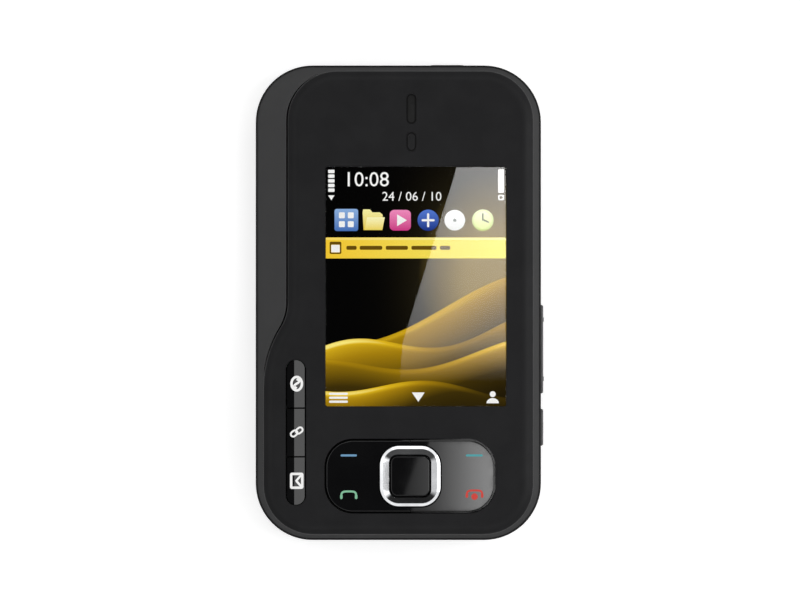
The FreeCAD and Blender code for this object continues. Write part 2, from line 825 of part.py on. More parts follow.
def make_rear_shell():
    """The tub of the base: its belt, the fixed part of the back, and the battery bay. Where the battery
    cover lies, its outside is set in by the cover's thickness and a gap."""
    shell = Piece("rear_shell")
    shell.pad(body_outline("cover_space"), "cover_space", "belt_top")
    shell.fillet("back_round - cover_space", level("cover_space"))
    shell.pad(body_outline(low="cover_line"), "0", "belt_top")
    shell.fillet("back_round", level("0", off_line("cover_line")))
    shell.pad(body_outline(), "back_round", "belt_top")
    shell.fillet("lip_round", level("belt_top"))
    shell.pocket(body_outline("wall"), "shelf_top", "belt_top")
    shell.pocket(body_outline("2 * wall"), "floor_top", "shelf_top")
    bay = ("-bay_right - {0}", "bay_right + {0}", "bay_low_end - {0}", "bay_high_end + {0}")
    shell.pad(box(*(side.format("bay_wall") for side in bay)), "cover_space", "bay_roof + roof_thickness")
    shell.pocket(box(*(side.format("0") for side in bay)), "0", "bay_roof")
    shell.pad(circles("boss_radius", *SCREWS), "cover_space", "board_low - fit_gap")
    shell.pocket(circles("screw_radius + fit_gap", *SCREWS), "0", "board_low")
    shell.pocket(circles("screw_head_radius + fit_gap", *SCREWS), "0", "cover_space + screw_head_height")
    # the camera's seat and hole, and the slots in front of the loudspeaker
    shell.pocket(circles("camera_ring_radius + fit_gap", ("0", "camera_y")), "0", "camera_seat")
    shell.pocket(circles("camera_hole_radius", ("0", "camera_y")), "camera_seat", "floor_top")
    shell.pocket(around("0", "contact_z", "contact_opening", "contact_opening_height"),
                 "bay_high_end - contact_root", "bay_high_end + bay_wall + contact_root", "XZ")
    slots = [around("speaker_x", f"speaker_y + {step} * speaker_slot_pitch", "speaker_width * 0.6",
                    "speaker_slot_width", "speaker_slot_round") for step in (-2, -1, 0, 1, 2)]
    shell.pocket(several(*slots), "0", "floor_top")
    # the openings in the belt: rocker, camera key, power key, headset jack and charging socket
    for _, middle, length in EDGE_KEYS:
        shell.pocket(edge_opening(middle, length), "body_right - 2 * wall - overcut", "body_right + overcut", "YZ")
    shell.pocket(edge_opening("power_key_side", "power_key_length"),
                 "body_top - 2 * wall - overcut", "body_top + overcut", "XZ")
    shell.pocket(circles("jack_radius + edge_key_gap", ("-jack_side", "jack_z")),
                 "body_top - 2 * wall - overcut", "body_top + overcut", "XZ")
    opening = around("socket_y", "socket_z1 - socket_height / 2", "socket_length - 2 * socket_wall",
                     "socket_height - 2 * socket_wall", "socket_round")
    shell.pocket(opening, "-body_right - overcut", "2 * wall + overcut - body_right", "YZ")
    # room behind the keys, and for the socket and the jack, over the shelf
    for _, middle, length in EDGE_KEYS:
        shell.pocket(box("body_right - key_room", "body_right - wall", f"{middle} - {length} / 2 - key_room_side",
                         f"{middle} + {length} / 2 + key_room_side"), "key_room_low", "belt_top")
    shell.pocket(box("power_key_side - power_key_length / 2 - key_room_side",
                     "power_key_side + power_key_length / 2 + key_room_side",
                     "body_top - key_room", "body_top - wall"), "key_room_low", "belt_top")
    shell.pocket(around("wall - body_right + socket_depth / 2", "socket_y", "socket_depth + 2 * fit_gap",
                        "socket_length + 2 * fit_gap"), "socket_z1 - socket_height - fit_gap", "belt_top")
    shell.pocket(around("-jack_side", "body_top - wall - jack_length / 2", "2 * (jack_radius + jack_wall + fit_gap)",
                        "jack_length + 2 * fit_gap"),
                 "jack_z - jack_radius - jack_wall - fit_gap", "belt_top")


PLATE_SCREWS = tuple((x, y) for x in ("runner_left + plate_screw_side", "rail_right - plate_screw_side")
                     for y in ("upright_out - plate_screw_end", "plate_screw_end - upright_out"))


def make_deck():
    """The frame around the keyboard. Its rim stands in from the belt by a fine step and slopes up, and on
    the left it goes on rising to a ledge that is cut off along the slider's side."""
    deck = Piece("keyboard_deck")
    deck.pad(body_outline("rim_step"), "belt_top", "ledge_top", taper="-atan((side_rim - rim_step) / rim_rise)")
    deck.pocket(slider_outline("bay_gap"), "deck_top", "ledge_top + overcut")
    deck.pocket(body_outline("wall + deck_land"), "belt_top", "deck_under")
    deck.pocket(box("ledge_hollow_side - body_right", "slider_left_upper - bay_gap - slider_wall",
                    "step_start + ledge_hollow_end", "slider_top - slider_corner"),
                "belt_top", "deck_top + ledge_hollow_rise")
    deck.pocket(box("keys_left - deck_key_gap", "keys_right + deck_key_gap", "-keys_top - deck_key_gap",
                    "keys_top + deck_key_gap", "key_corner + deck_key_gap"), "deck_under", "deck_top")
    deck.pad(circles("boss_radius", *SCREWS), "board_top + fit_gap", "deck_under")
    deck.pocket(circles("screw_radius + thread_gap", *SCREWS), "board_top", "deck_top - boss_roof")
    deck.pocket(around("ribbon_x0", "0", "ribbon_slot", "ribbon_width + ribbon_room"), "deck_under", "deck_top")
    deck.pocket(circles("small_screw_radius + thread_gap", *PLATE_SCREWS), "deck_under", "deck_top")


def make_battery_cover():
    """A tray that closes the bay and wraps up to the belt. It is open at its upper end, so it slides off."""
    cover = Piece("battery_cover")
    cover.pad(body_outline(high="cover_line - cover_gap"), "0", "back_round - cover_gap")
    cover.fillet("back_round - cover_gap - end_flat", level("0", off_line("cover_line - cover_gap")))
    inside = Piece("cover_inside")
    inside.pad(body_outline("cover_thickness", high="cover_line + overcut"), "cover_thickness", "back_round")
    inside.fillet("back_round - cover_thickness - end_flat",
                  level("cover_thickness", off_line("cover_line + overcut")))
    cover.cut(inside)
    # grooves for the thumb that pushes it off
    grooves = [around("0", f"cover_line - groove_from_line - {step} * groove_pitch",
                      f"groove_length - {step} * groove_shortening", "groove_width", "groove_width / 2 - end_flat")
               for step in range(4)]
    cover.pocket(several(*grooves), "0", "groove_depth")


# ---------------------------------------------------------------- inside the base
def make_battery():
    battery = Piece("battery")
    battery.pad(box("battery_side_gap - bay_right", "bay_right - battery_side_gap",
                    "bay_low_end + battery_side_gap", "bay_high_end - battery_side_gap", "battery_corner"),
                "battery_low", "battery_low + battery_height")
    battery.fillet("battery_edge_round", level("battery_low + battery_height"))
    battery.fillet("battery_edge_round", level("battery_low"))
    pads = [around(f"{side} * contact_pitch", "contact_z", "contact_pad_width", "contact_pad_height")
            for side in (-1, 0, 1)]
    battery.pocket(several(*pads), "bay_high_end - contact_pad_depth", "bay_high_end", "XZ")


def make_contacts():
    """Three spring contacts in a block behind the upper wall of the bay."""
    block = Piece("battery_contacts")
    block.pad(around("0", "bay_high_end + bay_wall + fit_gap + contact_block_depth / 2", "contact_block_width",
                     "contact_block_depth"), "free_low", "board_low - fit_gap")
    fingers = [around(f"{side} * contact_pitch", "contact_z", "contact_width", "contact_height")
               for side in (-1, 0, 1)]
    block.pad(several(*fingers), "bay_high_end - contact_reach", "bay_high_end + bay_wall + contact_root", "XZ")


def make_board():
    """The main board, with a gap at its edge behind each key in the belt."""
    board = Piece("main_board")
    board.pad(body_outline("wall + board_inset"), "board_low", "board_top")
    board.pocket(circles("screw_radius + board_hole_gap", *SCREWS), "board_low", "board_top")
    side = "key_room_side + key_room_height"
    for _, middle, length in EDGE_KEYS:
        notch = box("switch_x1", "body_right", f"{middle} - {length} / 2 - {side}",
                    f"{middle} + {length} / 2 + {side}")
        board.pocket(notch, "board_low", "board_top")
    notch = box(f"power_key_side - power_key_length / 2 - {side}",
                f"power_key_side + power_key_length / 2 + {side}", "switch_y1", "body_top")
    board.pocket(notch, "board_low", "board_top")


# Packages and tall parts: each has its place across and along, its width and its length, as shares of the
# covers' width and of half the base's length.
CHIP_SHARES = ((0.4, 0.54, 0.55, 0.2), (0.4, 0.25, 0.5, 0.14), (0.55, -0.2, 0.6, 0.22), (0.45, -0.5, 0.45, 0.16),
               (0.95, -0.74, 0.16, 0.04), (1.09, 0.33, 0.12, 0.1), (0.14, -0.76, 0.12, 0.06),
               (0.14, 0.76, 0.16, 0.04))


def make_chips():
    chips = Piece("main_chips")
    spots = [around(f"can_x0 + {x} * can_width", f"{y} * body_top", f"{width} * can_width",
                    f"{length} * body_top") for x, y, width, length in CHIP_SHARES]
    chips.pad(several(*spots), "board_top", "board_top + chip_height")


def make_cans():
    """Two drawn covers over the packages. Each is 0.62 of half the base long."""
    cans = Piece("shield_cans")
    for middle in ("0.39 * body_top", "-0.35 * body_top"):
        low, high = f"{middle} - 0.31 * body_top", f"{middle} + 0.31 * body_top"
        cans.pad(box("can_x0", "can_x0 + can_width", low, high, "can_round"), "board_top", "deck_under - fit_gap")
        cans.pocket(box("can_x0 + can_wall", "can_x0 + can_width - can_wall", f"{low} + can_wall",
                        f"{high} - can_wall", "can_round - can_wall"),
                    "board_top", "deck_under - fit_gap - can_roof")


COLUMNS = 11
ROWS = (
    ("key_row_bottom", 0, ((0, 4), (7, 4))),
    ("key_row_lower", 1, ((0, COLUMNS),)),
    ("key_row_home", 2, ((0, COLUMNS),)),
    ("key_row_top", 3, ((0, COLUMNS),)),
)


def key_column(column):
    """The middle of a keyboard column. Column 0 is at the earpiece end."""
    return f"keys_top - ({column} + 0.5) * column_pitch"


def make_keyboard():
    """The dome film, the rubber mat and the caps, which stand clear of each other by key_gap."""
    domes = Piece("keyboard_domes")
    area = ("keys_left - mat_margin", "keys_right + mat_margin", "-keys_top - mat_margin", "keys_top + mat_margin")
    domes.pad(box(*area), "board_top", "board_top + film_thickness")
    domes.pocket(circles("boss_radius + mat_hole_gap", *SCREWS), "board_top", "dome_top")
    mat = Piece("keyboard_mat")
    mat.pad(box(*area), "mat_low", "mat_top")
    mat.pocket(circles("boss_radius + mat_hole_gap", *SCREWS), "mat_low", "mat_top")
    cap_width, cap_length = "row_pitch - key_gap", "column_pitch - key_gap"
    for name, row, groups in ROWS:
        caps = Piece(name)
        middle = f"keys_left + ({row} + 0.5) * row_pitch"
        for first, count in groups:
            length = f"{count - 1} * column_pitch"
            caps.pad(around(middle, key_column(first), cap_width, cap_length, "key_corner"), "key_low", "key_high")
            caps.repeat("Y", length, count)
            domes.pad(circles("dome_radius", (middle, key_column(first))), "board_top", "dome_top")
            domes.repeat("Y", length, count)
        caps.fillet("key_edge", level("key_high"))
    # the space bar takes the room of three keys
    bar = Piece("space_bar")
    middle = "keys_left + 0.5 * row_pitch"
    bar.pad(around(middle, key_column(5), cap_width, "3 * column_pitch - key_gap", "key_corner"),
            "key_low", "key_high")
    bar.fillet("key_edge", level("key_high"))
    domes.pad(circles("dome_radius", (middle, key_column(5))), "board_top", "dome_top")


def make_camera():
    module = Piece("camera_module")
    module.pad(around("0", "camera_y", "camera_side", "camera_side", "camera_round"),
               "free_low", "board_low - fit_gap")
    module.pad(circles("camera_hole_radius - camera_barrel_gap", ("0", "camera_y")),
               "camera_seat + fit_gap", "free_low")
    module.pocket(circles("camera_bore_radius", ("0", "camera_y")), "camera_seat + fit_gap", "floor_top")
    ring = Piece("camera_ring")
    ring.pad(circles("camera_ring_radius", ("0", "camera_y")), "0", "camera_seat - fit_gap")
    ring.pocket(circles("camera_window_radius + fit_gap", ("0", "camera_y")), "0", "camera_seat - camera_shelf")
    ring.pocket(circles("camera_hole_radius", ("0", "camera_y")), "0", "camera_seat")
    ring.chamfer("camera_ring_bevel",
                 lambda edge: level("0")(edge) and edge.Curve.Radius > value("camera_window_radius + overcut"))
    window = Piece("camera_window")
    window.pad(circles("camera_window_radius", ("0", "camera_y")), "camera_window_sink",
               "camera_seat - camera_shelf - fit_gap")


def make_speaker():
    speaker = Piece("loudspeaker")
    speaker.pad(around("speaker_x", "speaker_y", "speaker_width", "speaker_length", "speaker_corner"),
                "free_low", "free_low + speaker_height")
    speaker.pocket(around("speaker_x", "speaker_y", "speaker_width - 2 * speaker_rim",
                          "speaker_length - 2 * speaker_rim", "speaker_corner - speaker_rim / 2"),
                   "free_low", "free_low + speaker_rim_height")
    speaker.pad(around("speaker_x", "speaker_y", "speaker_width - 2 * speaker_magnet_in",
                       "speaker_length - 2 * speaker_magnet_in", "speaker_corner - speaker_rim / 2"),
                "free_low + speaker_height", "board_low - fit_gap")


def make_motor():
    """A can with an off-centre weight on its shaft."""
    motor = Piece("vibration_motor")
    y, z = "(camera_y + motor_from_camera)", "(free_low + motor_radius)"
    end = "(free_x + motor_length / 2)"
    motor.pad(circles("motor_radius", (y, z)), "free_x - motor_length / 2", end, "YZ")
    motor.pad(circles("motor_shaft_radius", (y, z)), end, f"{end} + motor_shaft_length", "YZ")
    motor.pad(box(f"{y} - weight_width / 2", f"{y} + weight_width / 2", z, f"{z} + weight_height", "weight_round"),
              f"{end} + motor_shaft_length - weight_length", f"{end} + motor_shaft_length", "YZ")


def make_card_holder():
    """A folded steel holder, open towards +X, that hangs from the main board."""
    holder = Piece("card_holder")
    x, y = "(free_x + holder_shift)", "(camera_y - holder_from_camera)"
    low = "(board_low - holder_height)"
    holder.pad(around(x, y, "holder_width", "holder_length", "holder_round"), low, "board_low - fit_gap")
    holder.pocket(box(f"{x} - holder_width / 2 + holder_back", f"{x} + holder_width / 2 + overcut",
                      f"{y} - holder_length / 2 + holder_wall", f"{y} + holder_length / 2 - holder_wall"),
                  f"{low} + holder_floor", f"{low} + holder_floor + card_height")


def make_antenna():
    """A moulded carrier with its radiator as a raised track."""
    antenna = Piece("antenna")
    x0, x1 = "(antenna_from_jack - jack_side)", "(power_key_side - antenna_from_key)"
    y0 = "(camera_y + antenna_from_camera)"
    antenna.pad(box(x0, x1, y0, "body_top - 2 * wall - antenna_end_gap", "antenna_corner"),
                "free_low", "free_low + antenna_height")
    left, right = f"{x0} + track_in", f"{x1} - track_in"
    low, high = f"{y0} + track_in", f"{y0} + track_in + track_length"
    track = polygon((left, low), (f"{left} + track_width", low),
                    (f"{left} + track_width", f"{high} - track_width"),
                    (f"{right} - track_width", f"{high} - track_width"), (f"{right} - track_width", low),
                    (right, low), (right, high), (left, high))
    antenna.pad(track, "free_low + antenna_height", "board_low - fit_gap")


def make_sockets():
    jack = Piece("headset_jack")
    outer = "2 * (jack_radius + jack_wall)"
    jack.pad(around("-jack_side", "jack_z", outer, outer, "jack_round"),
             "body_top - wall - jack_length", "body_top - wall - fit_gap", "XZ")
    jack.pad(circles("jack_radius + edge_key_gap - fit_gap", ("-jack_side", "jack_z")),
             "body_top - wall - fit_gap", "body_top - jack_face_in", "XZ")
    jack.pocket(circles("jack_radius", ("-jack_side", "jack_z")),
                "body_top - wall - jack_length + jack_end", "body_top", "XZ")
    socket = Piece("charging_socket")
    inner = "wall + fit_gap - body_right"
    z = "socket_z1 - socket_height / 2"
    socket.pad(around("socket_y", z, "socket_length", "socket_height", "socket_round"),
               inner, f"{inner} + socket_depth - 2 * fit_gap", "YZ")
    socket.pocket(around("socket_y", z, "socket_length - 2 * socket_wall", "socket_height - 2 * socket_wall",
                         "socket_round - socket_wall / 2"), inner, f"{inner} + socket_depth - socket_end", "YZ")
    socket.pad(around("socket_y", f"{z} + tongue_shift", "socket_length - 2 * tongue_in", "tongue_height"),
               f"{inner} + tongue_back", f"{inner} + socket_depth - 2 * fit_gap", "YZ")


def make_edge_keys():
    """The rocker and the camera key in the right side, the power key in the top end, and their switches."""
    height, corner = "edge_key_height", "edge_key_height / 2 - end_flat"
    lip_height = "edge_key_height + 2 * key_lip_height"
    face = "body_right - wall - key_flange_gap"
    out = "body_right + edge_key_proud"
    for name, middle, length in EDGE_KEYS:
        key = Piece(name)
        key.pad(around(middle, "edge_key_z", length, height, corner), f"{face} - key_flange", out, "YZ")
        key.fillet("edge_key_round", lambda edge: all(abs(p.x - value(out)) < 1e-4 for p in points_of(edge)))
        key.pad(around(middle, "edge_key_z", f"{length} + 2 * key_lip_length", lip_height, "key_lip_round"),
                f"{face} - key_flange", face, "YZ")
        if name == "volume_rocker":
            nubs = [around(f"{middle} + {side} * rocker_length / 3", "edge_key_z", "nub_size", "nub_size",
                           "nub_round") for side in (-1, 1)]
            key.pad(several(*nubs), "body_right", f"{out} + nub_proud", "YZ")
    key = Piece("power_key")
    face = "body_top - wall - key_flange_gap"
    out = "body_top + power_key_proud"
    key.pad(around("power_key_side", "edge_key_z", "power_key_length", height, corner),
            f"{face} - key_flange", out, "XZ")
    key.fillet("power_key_round", lambda edge: all(abs(p.y - value(out)) < 1e-4 for p in points_of(edge)))
    key.pad(around("power_key_side", "edge_key_z", "power_key_length + 2 * key_lip_length", lip_height,
                   "key_lip_round"), f"{face} - key_flange", face, "XZ")
    switches = Piece("edge_switches")
    for middle in ("rocker_y - rocker_length / 3", "rocker_y + rocker_length / 3", "camera_key_y"):
        switches.pad(around(middle, "switch_z", "switch_length", "switch_height", "switch_round"),
                     "switch_x1 - switch_depth", "switch_x1", "YZ")
        switches.pad(around(middle, "edge_key_z", "plunger_length", "plunger_height", "switch_round"),
                     "switch_x1", "switch_x1 + switch_gap", "YZ")
    switches.pad(around("power_key_side", "switch_z", "switch_length", "switch_height", "switch_round"),
                 "switch_y1 - switch_depth", "switch_y1", "XZ")
    switches.pad(around("power_key_side", "edge_key_z", "plunger_length", "plunger_height", "switch_round"),
                 "switch_y1", "switch_y1 + switch_gap", "XZ")


def make_screws(name, radius, head_radius, head_low, head_high, shank_low, shank_high, spots):
    """A group of equal screws, each with a crossed recess in its head. The cross is 1.2 head radii wide."""
    screws = Piece(name)
    screws.pad(circles(radius, *spots), shank_low, shank_high)
    screws.pad(circles(head_radius, *spots), head_low, head_high)
    upward = value(head_low) > value(shank_low)
    recess = (f"{head_high} - recess_depth", head_high) if upward else (head_low, f"{head_low} + recess_depth")
    for long, wide in ((1.2, 0.25), (0.25, 1.2)):
        screws.pocket(several(*(around(x, y, f"{head_radius} * {long}", f"{head_radius} * {wide}")
                                for x, y in spots)), *recess)


# ---------------------------------------------------------------- the slide
def mirrored(sign, low, high):
    """A span along Y, or its mirror image on the -Y side."""
    return (low, high) if sign == 1 else (f"-({high})", f"-({low})")


def make_base_plate():
    """A steel plate on the deck. Its two upright ends carry flanges that run in the slider's rails."""
    plate = Piece("base_plate")
    low, high = "deck_top", "deck_plate_top"
    plate.pad(box("runner_left", "rail_right", "-upright_out", "upright_out"), low, high)
    plate.pocket(around("ribbon_x0", "0", "ribbon_slot", "ribbon_width + ribbon_room", "ribbon_slot_round"),
                 low, high)
    side = "(detent_side + plate_slot_from_detent)"
    plate.pocket(several(around("detent_x + plate_slot_shift", side, "plate_slot_width", "plate_slot_length",
                                "plate_slot_round"),
                         around("detent_x + plate_slot_shift", f"-{side}", "plate_slot_width", "plate_slot_length",
                                "plate_slot_round"),
                         around("detent_x - plate_window_shift", "0", "plate_window_width", "plate_window_length",
                                "plate_slot_round")), low, high)
    plate.pocket(circles("small_screw_radius + small_hole_gap", *PLATE_SCREWS), low, high)
    flange_low, flange_high = "rail_middle - plate_thickness / 2", "rail_middle + plate_thickness / 2"
    for sign in (1, -1):
        plate.pad(box("runner_left", "rail_right",
                      *mirrored(sign, "upright_out - plate_thickness", "upright_out")), low, flange_high)
        plate.pad(box("runner_left", "rail_right", *mirrored(sign, "upright_out - plate_thickness", "runner_out")),
                  flange_low, flange_high)


FRAME_SCREWS = tuple((x, y) for x in ("rail_left + frame_screw_side", "rail_right - frame_screw_side")
                     for y in ("rail_out + frame_screw_end", "-rail_out - frame_screw_end"))


def make_slider_plate():
    """The moving steel plate. Each end is folded into a rail, closed at both ends by a stop."""
    plate = Piece("slider_plate")
    left, right = "(rail_left - rail_run)", "(rail_right + rail_run)"
    plate.pad(box(f"{left} - rail_stop", f"{right} + rail_stop", "-rail_out - plate_lip", "rail_out + plate_lip",
                  "plate_corner"), "plate_low", "plate_top")
    holes = [(x, y) for x in ("detent_x", "detent_x - slide_travel") for y in ("detent_side", "-detent_side")]
    plate.pocket(circles("detent_radius + detent_hole_gap", *holes), "plate_low", "plate_top")
    plate.pocket(around("ribbon_x1", "0", "ribbon_slot", "ribbon_width + ribbon_room", "ribbon_slot_round"),
                 "plate_low", "plate_top")
    plate.pocket(circles("small_screw_radius + small_hole_gap", *FRAME_SCREWS), "plate_low", "plate_top")
    for sign in (1, -1):
        plate.pad(box(left, right, *mirrored(sign, "rail_out - plate_thickness", "rail_out")),
                  "flange_low", "plate_low")
        plate.pad(box(left, right, *mirrored(sign, "flange_in", "rail_out")),
                  "flange_low", "flange_low + plate_thickness")
        for stop in ((f"{left} - rail_stop", left), (right, f"{right} + rail_stop")):
            plate.pad(box(*stop, *mirrored(sign, "flange_in", "rail_out")), "flange_low", "plate_low")


def make_liners():
    """Two plastic channels in the rails, which the base plate's flanges run in."""
    liners = Piece("rail_liners")
    low, high = "flange_low + plate_thickness + fit_gap", "plate_low - fit_gap"
    web = ("runner_out + rail_run", "runner_out + rail_run + liner_wall")
    for sign in (1, -1):
        liners.pad(box("rail_left", "rail_right", *mirrored(sign, "flange_in", web[1])), low, high)
        liners.pocket(box("rail_left - overcut", "rail_right + overcut",
                          *mirrored(sign, "flange_in - overcut", web[0])),
                      "rail_middle - plate_thickness / 2 - rail_run",
                      "rail_middle + plate_thickness / 2 + rail_run")


def make_detents():
    """Two leaf springs on the base plate. Each has a crest that rests under a hole in the slider plate, when
    the phone is shut and when it is open."""
    springs = Piece("detent_springs")
    low, crest, t = "deck_plate_top", "(plate_low - crest_gap)", "leaf_thickness"
    # the upper side runs back from the tail over the crest to the foot, the lower side is a thickness below
    leaf = (("detent_x - leaf_length", low), ("detent_x - leaf_bend", low),
            (f"detent_x - crest_half + {t} / 2", f"{crest} - crest_drop - {t}"), ("detent_x", f"{crest} - {t}"),
            (f"detent_x + crest_half - {t} / 2", f"{crest} - crest_drop - {t}"),
            ("detent_x + leaf_tail", f"{crest} - leaf_tail_drop - {t}"),
            ("detent_x + leaf_tail", f"{crest} - leaf_tail_drop"),
            ("detent_x + crest_half", f"{crest} - crest_drop"), ("detent_x", crest),
            ("detent_x - crest_half", f"{crest} - crest_drop"), (f"detent_x - leaf_bend - {t}", f"{low} + {t}"),
            ("detent_x - leaf_length", f"{low} + {t}"))
    for sign in (1, -1):
        span = mirrored(sign, "detent_side - detent_width / 2", "detent_side + detent_width / 2")
        springs.pad(polygon(*leaf), *span, "XZ")


def make_ribbon():
    """The flat cable from the main board, through the deck and back over itself to the slider."""
    ribbon = Piece("ribbon_cable")
    t = "ribbon_thickness"
    low, high = "deck_plate_top + ribbon_lift", "plate_low - ribbon_drop"
    fold = "runner_left + ribbon_fold_in"
    path = (("ribbon_x0", "board_top"), (f"ribbon_x0 + {t}", "board_top"),
            (f"ribbon_x0 + {t}", f"{low} + {t}"), (f"{fold} + {t}", f"{low} + {t}"),
            (f"{fold} + {t}", f"{high} - {t}"), (f"ribbon_x1 + {t}", f"{high} - {t}"),
            (f"ribbon_x1 + {t}", "plate_low - fit_gap"), ("ribbon_x1", "plate_low - fit_gap"),
            ("ribbon_x1", high), (fold, high), (fold, low), ("ribbon_x0", low))
    ribbon.pad(polygon(*path), "-ribbon_width / 2", "ribbon_width / 2", "XZ")


# ---------------------------------------------------------------- slider shells
POSTS = (("slider_left + low_post_side", "slider_bottom + low_post_end"),
         ("slider_right - post_in", "slider_bottom + post_in"),
         ("slider_left_upper + post_in", "slider_top - post_in"),
         ("slider_right - post_in", "slider_top - post_in"))


def make_slider_back():
    """The frame under the slider plate, open over the mechanism."""
    back = Piece("slider_back")
    back.pad(slider_outline(), "slider_low", "plate_top")
    back.fillet("back_edge_round", level("slider_low"))
    gap = "(rail_run + rail_stop + fit_gap)"
    back.pocket(box(f"rail_left - {gap}", f"rail_right + {gap}", "-rail_out - plate_lip - fit_gap",
                    "rail_out + plate_lip + fit_gap", "plate_corner"), "plate_low", "plate_top")
    back.pocket(box(f"rail_left - {gap}", f"rail_right + {gap}", "-rail_out - fit_gap", "rail_out + fit_gap"),
                "slider_low", "plate_low")
    back.pocket(circles("small_screw_radius + thread_gap", *FRAME_SCREWS), "slider_low + frame_floor", "plate_low")
    back.pocket(circles("small_screw_radius + small_hole_gap", *POSTS), "slider_low", "plate_top")
    back.pocket(circles("small_head_radius + small_hole_gap", *POSTS),
                "slider_low", "slider_low + small_head_height + tip_gap")


def slot_plug(y, length, gap):
    """The outline of the narrow slot at y over the display, or of what fills it with a gap around."""
    return around("earpiece_x", y, f"earpiece_slot_width - 2 * {gap}", f"{length} - 2 * {gap}",
                  f"earpiece_slot_width / 2 - {gap} - end_flat")


def make_slider_front():
    """The front shell, a tray with openings for the display, the keys and the earpiece. A softened bevel
    runs all round its top."""
    front = Piece("slider_front")
    bevel_low = "(front_top - front_bevel_drop)"
    front.pad(slider_outline(), "plate_top", bevel_low)
    front.pad(slider_outline(), bevel_low, "front_top", taper="-atan(front_bevel / front_bevel_drop)")
    front.fillet("front_crown_round", level("front_top"))
    front.fillet("front_lip_round", level(bevel_low))
    front.pocket(slider_outline("-slider_wall"), "plate_top", "front_under")
    for opening in (box("display_x0", "display_x1", "display_y0", "display_y1", "display_corner"),
                    box("pad_x0", "pad_x1", "pad_y0", "pad_y1", "pad_corner"),
                    box("side_x0", "side_x1", "side_y0", "side_y1", "side_slot_width / 2 - end_flat"),
                    slot_plug("earpiece_y", "earpiece_slot_length", "0"),
                    slot_plug("sensor_y", "sensor_length", "0")):
        front.pocket(opening, "front_under", "front_top")
    front.pad(circles("post_radius", *POSTS), "plate_top", "front_under")
    front.pocket(circles("small_screw_radius + thread_gap", *POSTS), "plate_top", "front_under - post_roof")


# ---------------------------------------------------------------- inside the slider
def make_front_board():
    board = Piece("front_board")
    board.pad(slider_outline("-slider_wall - board_inset"), "front_board_low", "front_board_top")
    board.pocket(circles("post_radius + post_hole_gap", *POSTS), "front_board_low", "front_board_top")
    board.pocket(circles("small_head_radius + head_hole_gap", *FRAME_SCREWS), "front_board_low", "front_board_top")
    board.pad(around("ribbon_x1 + ribbon_thickness / 2", "0", "connector_width", "ribbon_width"),
              "plate_low", "front_board_low")


KEY_SPOTS = (("ring_x", "ring_y"), ("ring_x - ring_switch_out", "ring_y"), ("ring_x + ring_switch_out", "ring_y"),
             ("ring_x", "ring_y - ring_switch_out"), ("ring_x", "ring_y + ring_switch_out"),
             ("pad_x0 + key_switch_in", "ring_y + key_switch_side"),
             ("pad_x0 + key_switch_in", "ring_y - key_switch_side"),
             ("pad_x1 - key_switch_in", "ring_y + key_switch_side"),
             ("pad_x1 - key_switch_in", "ring_y - key_switch_side"))
SIDE_KEYS = (("mail_key", 0, "1100"), ("link_key", 1, "0000"), ("web_key", 2, "0011"))


def side_key_y(number):
    return f"(side_y0 + ({number} + 0.5) * side_slot_length / 3)"


SIDE_SPOTS = tuple(("side_x", side_key_y(number)) for _, number, _ in SIDE_KEYS)


def keypad_sheet():
    """The outline of the film and of the mat: one field under the front keys, one under the side keys."""
    return several(box("pad_x0", "pad_x1", "pad_y0 + film_in", "pad_y1 - film_in", "film_corner"),
                   box("side_x0", "side_x1", "side_y0 + side_film_in", "side_y1 - side_film_in",
                       "side_film_corner"))


def make_front_domes():
    domes = Piece("front_domes")
    domes.pad(keypad_sheet(), "front_board_top", "front_board_top + film_thickness")
    domes.pad(circles("front_dome_radius", *KEY_SPOTS, *SIDE_SPOTS), "front_board_top", "front_dome_top")


def make_keypad_mat():
    """A rubber sheet with a post under each key but the ring, which rests on its gimbal."""
    mat = Piece("keypad_mat")
    mat.pad(keypad_sheet(), "keypad_mat_low", "keypad_mat_top")
    mat.pad(circles("mat_post_radius", KEY_SPOTS[0], *KEY_SPOTS[5:], *SIDE_SPOTS), "keypad_mat_low", "post_top")


def make_panel_keys():
    """Two rocking half-panels around the ring."""
    low, high = "pad_y0 + pad_gap", "pad_y1 - pad_gap"
    lip = "(pad_gap - pad_flange)"
    left, right = "ring_x - key_split / 2", "ring_x + key_split / 2"
    halves = (("left_key", "pad_x0 + pad_gap", left, f"pad_x0 + {lip}", left, "1001"),
              ("right_key", right, "pad_x1 - pad_gap", right, f"pad_x1 - {lip}", "0110"))
    for name, x0, x1, lip_x0, lip_x1, corners in halves:
        key = Piece(name)
        key.pad(box(x0, x1, low, high, "pad_corner - pad_gap", corners), "front_key_low", "front_top")
        key.fillet("key_edge_round", level("front_top", lambda spots: any(
            abs(p.x - value("ring_x")) > value("key_split") for p in spots)))
        key.pad(box(lip_x0, lip_x1, f"pad_y0 + {lip}", f"pad_y1 - {lip}", "pad_corner", corners),
                "front_key_low", "front_key_top")
        key.pocket(around("ring_x", "ring_y", "ring_size + 2 * ring_gap", "ring_size + 2 * ring_gap",
                          "ring_corner + ring_gap"), "front_key_low", "front_top")


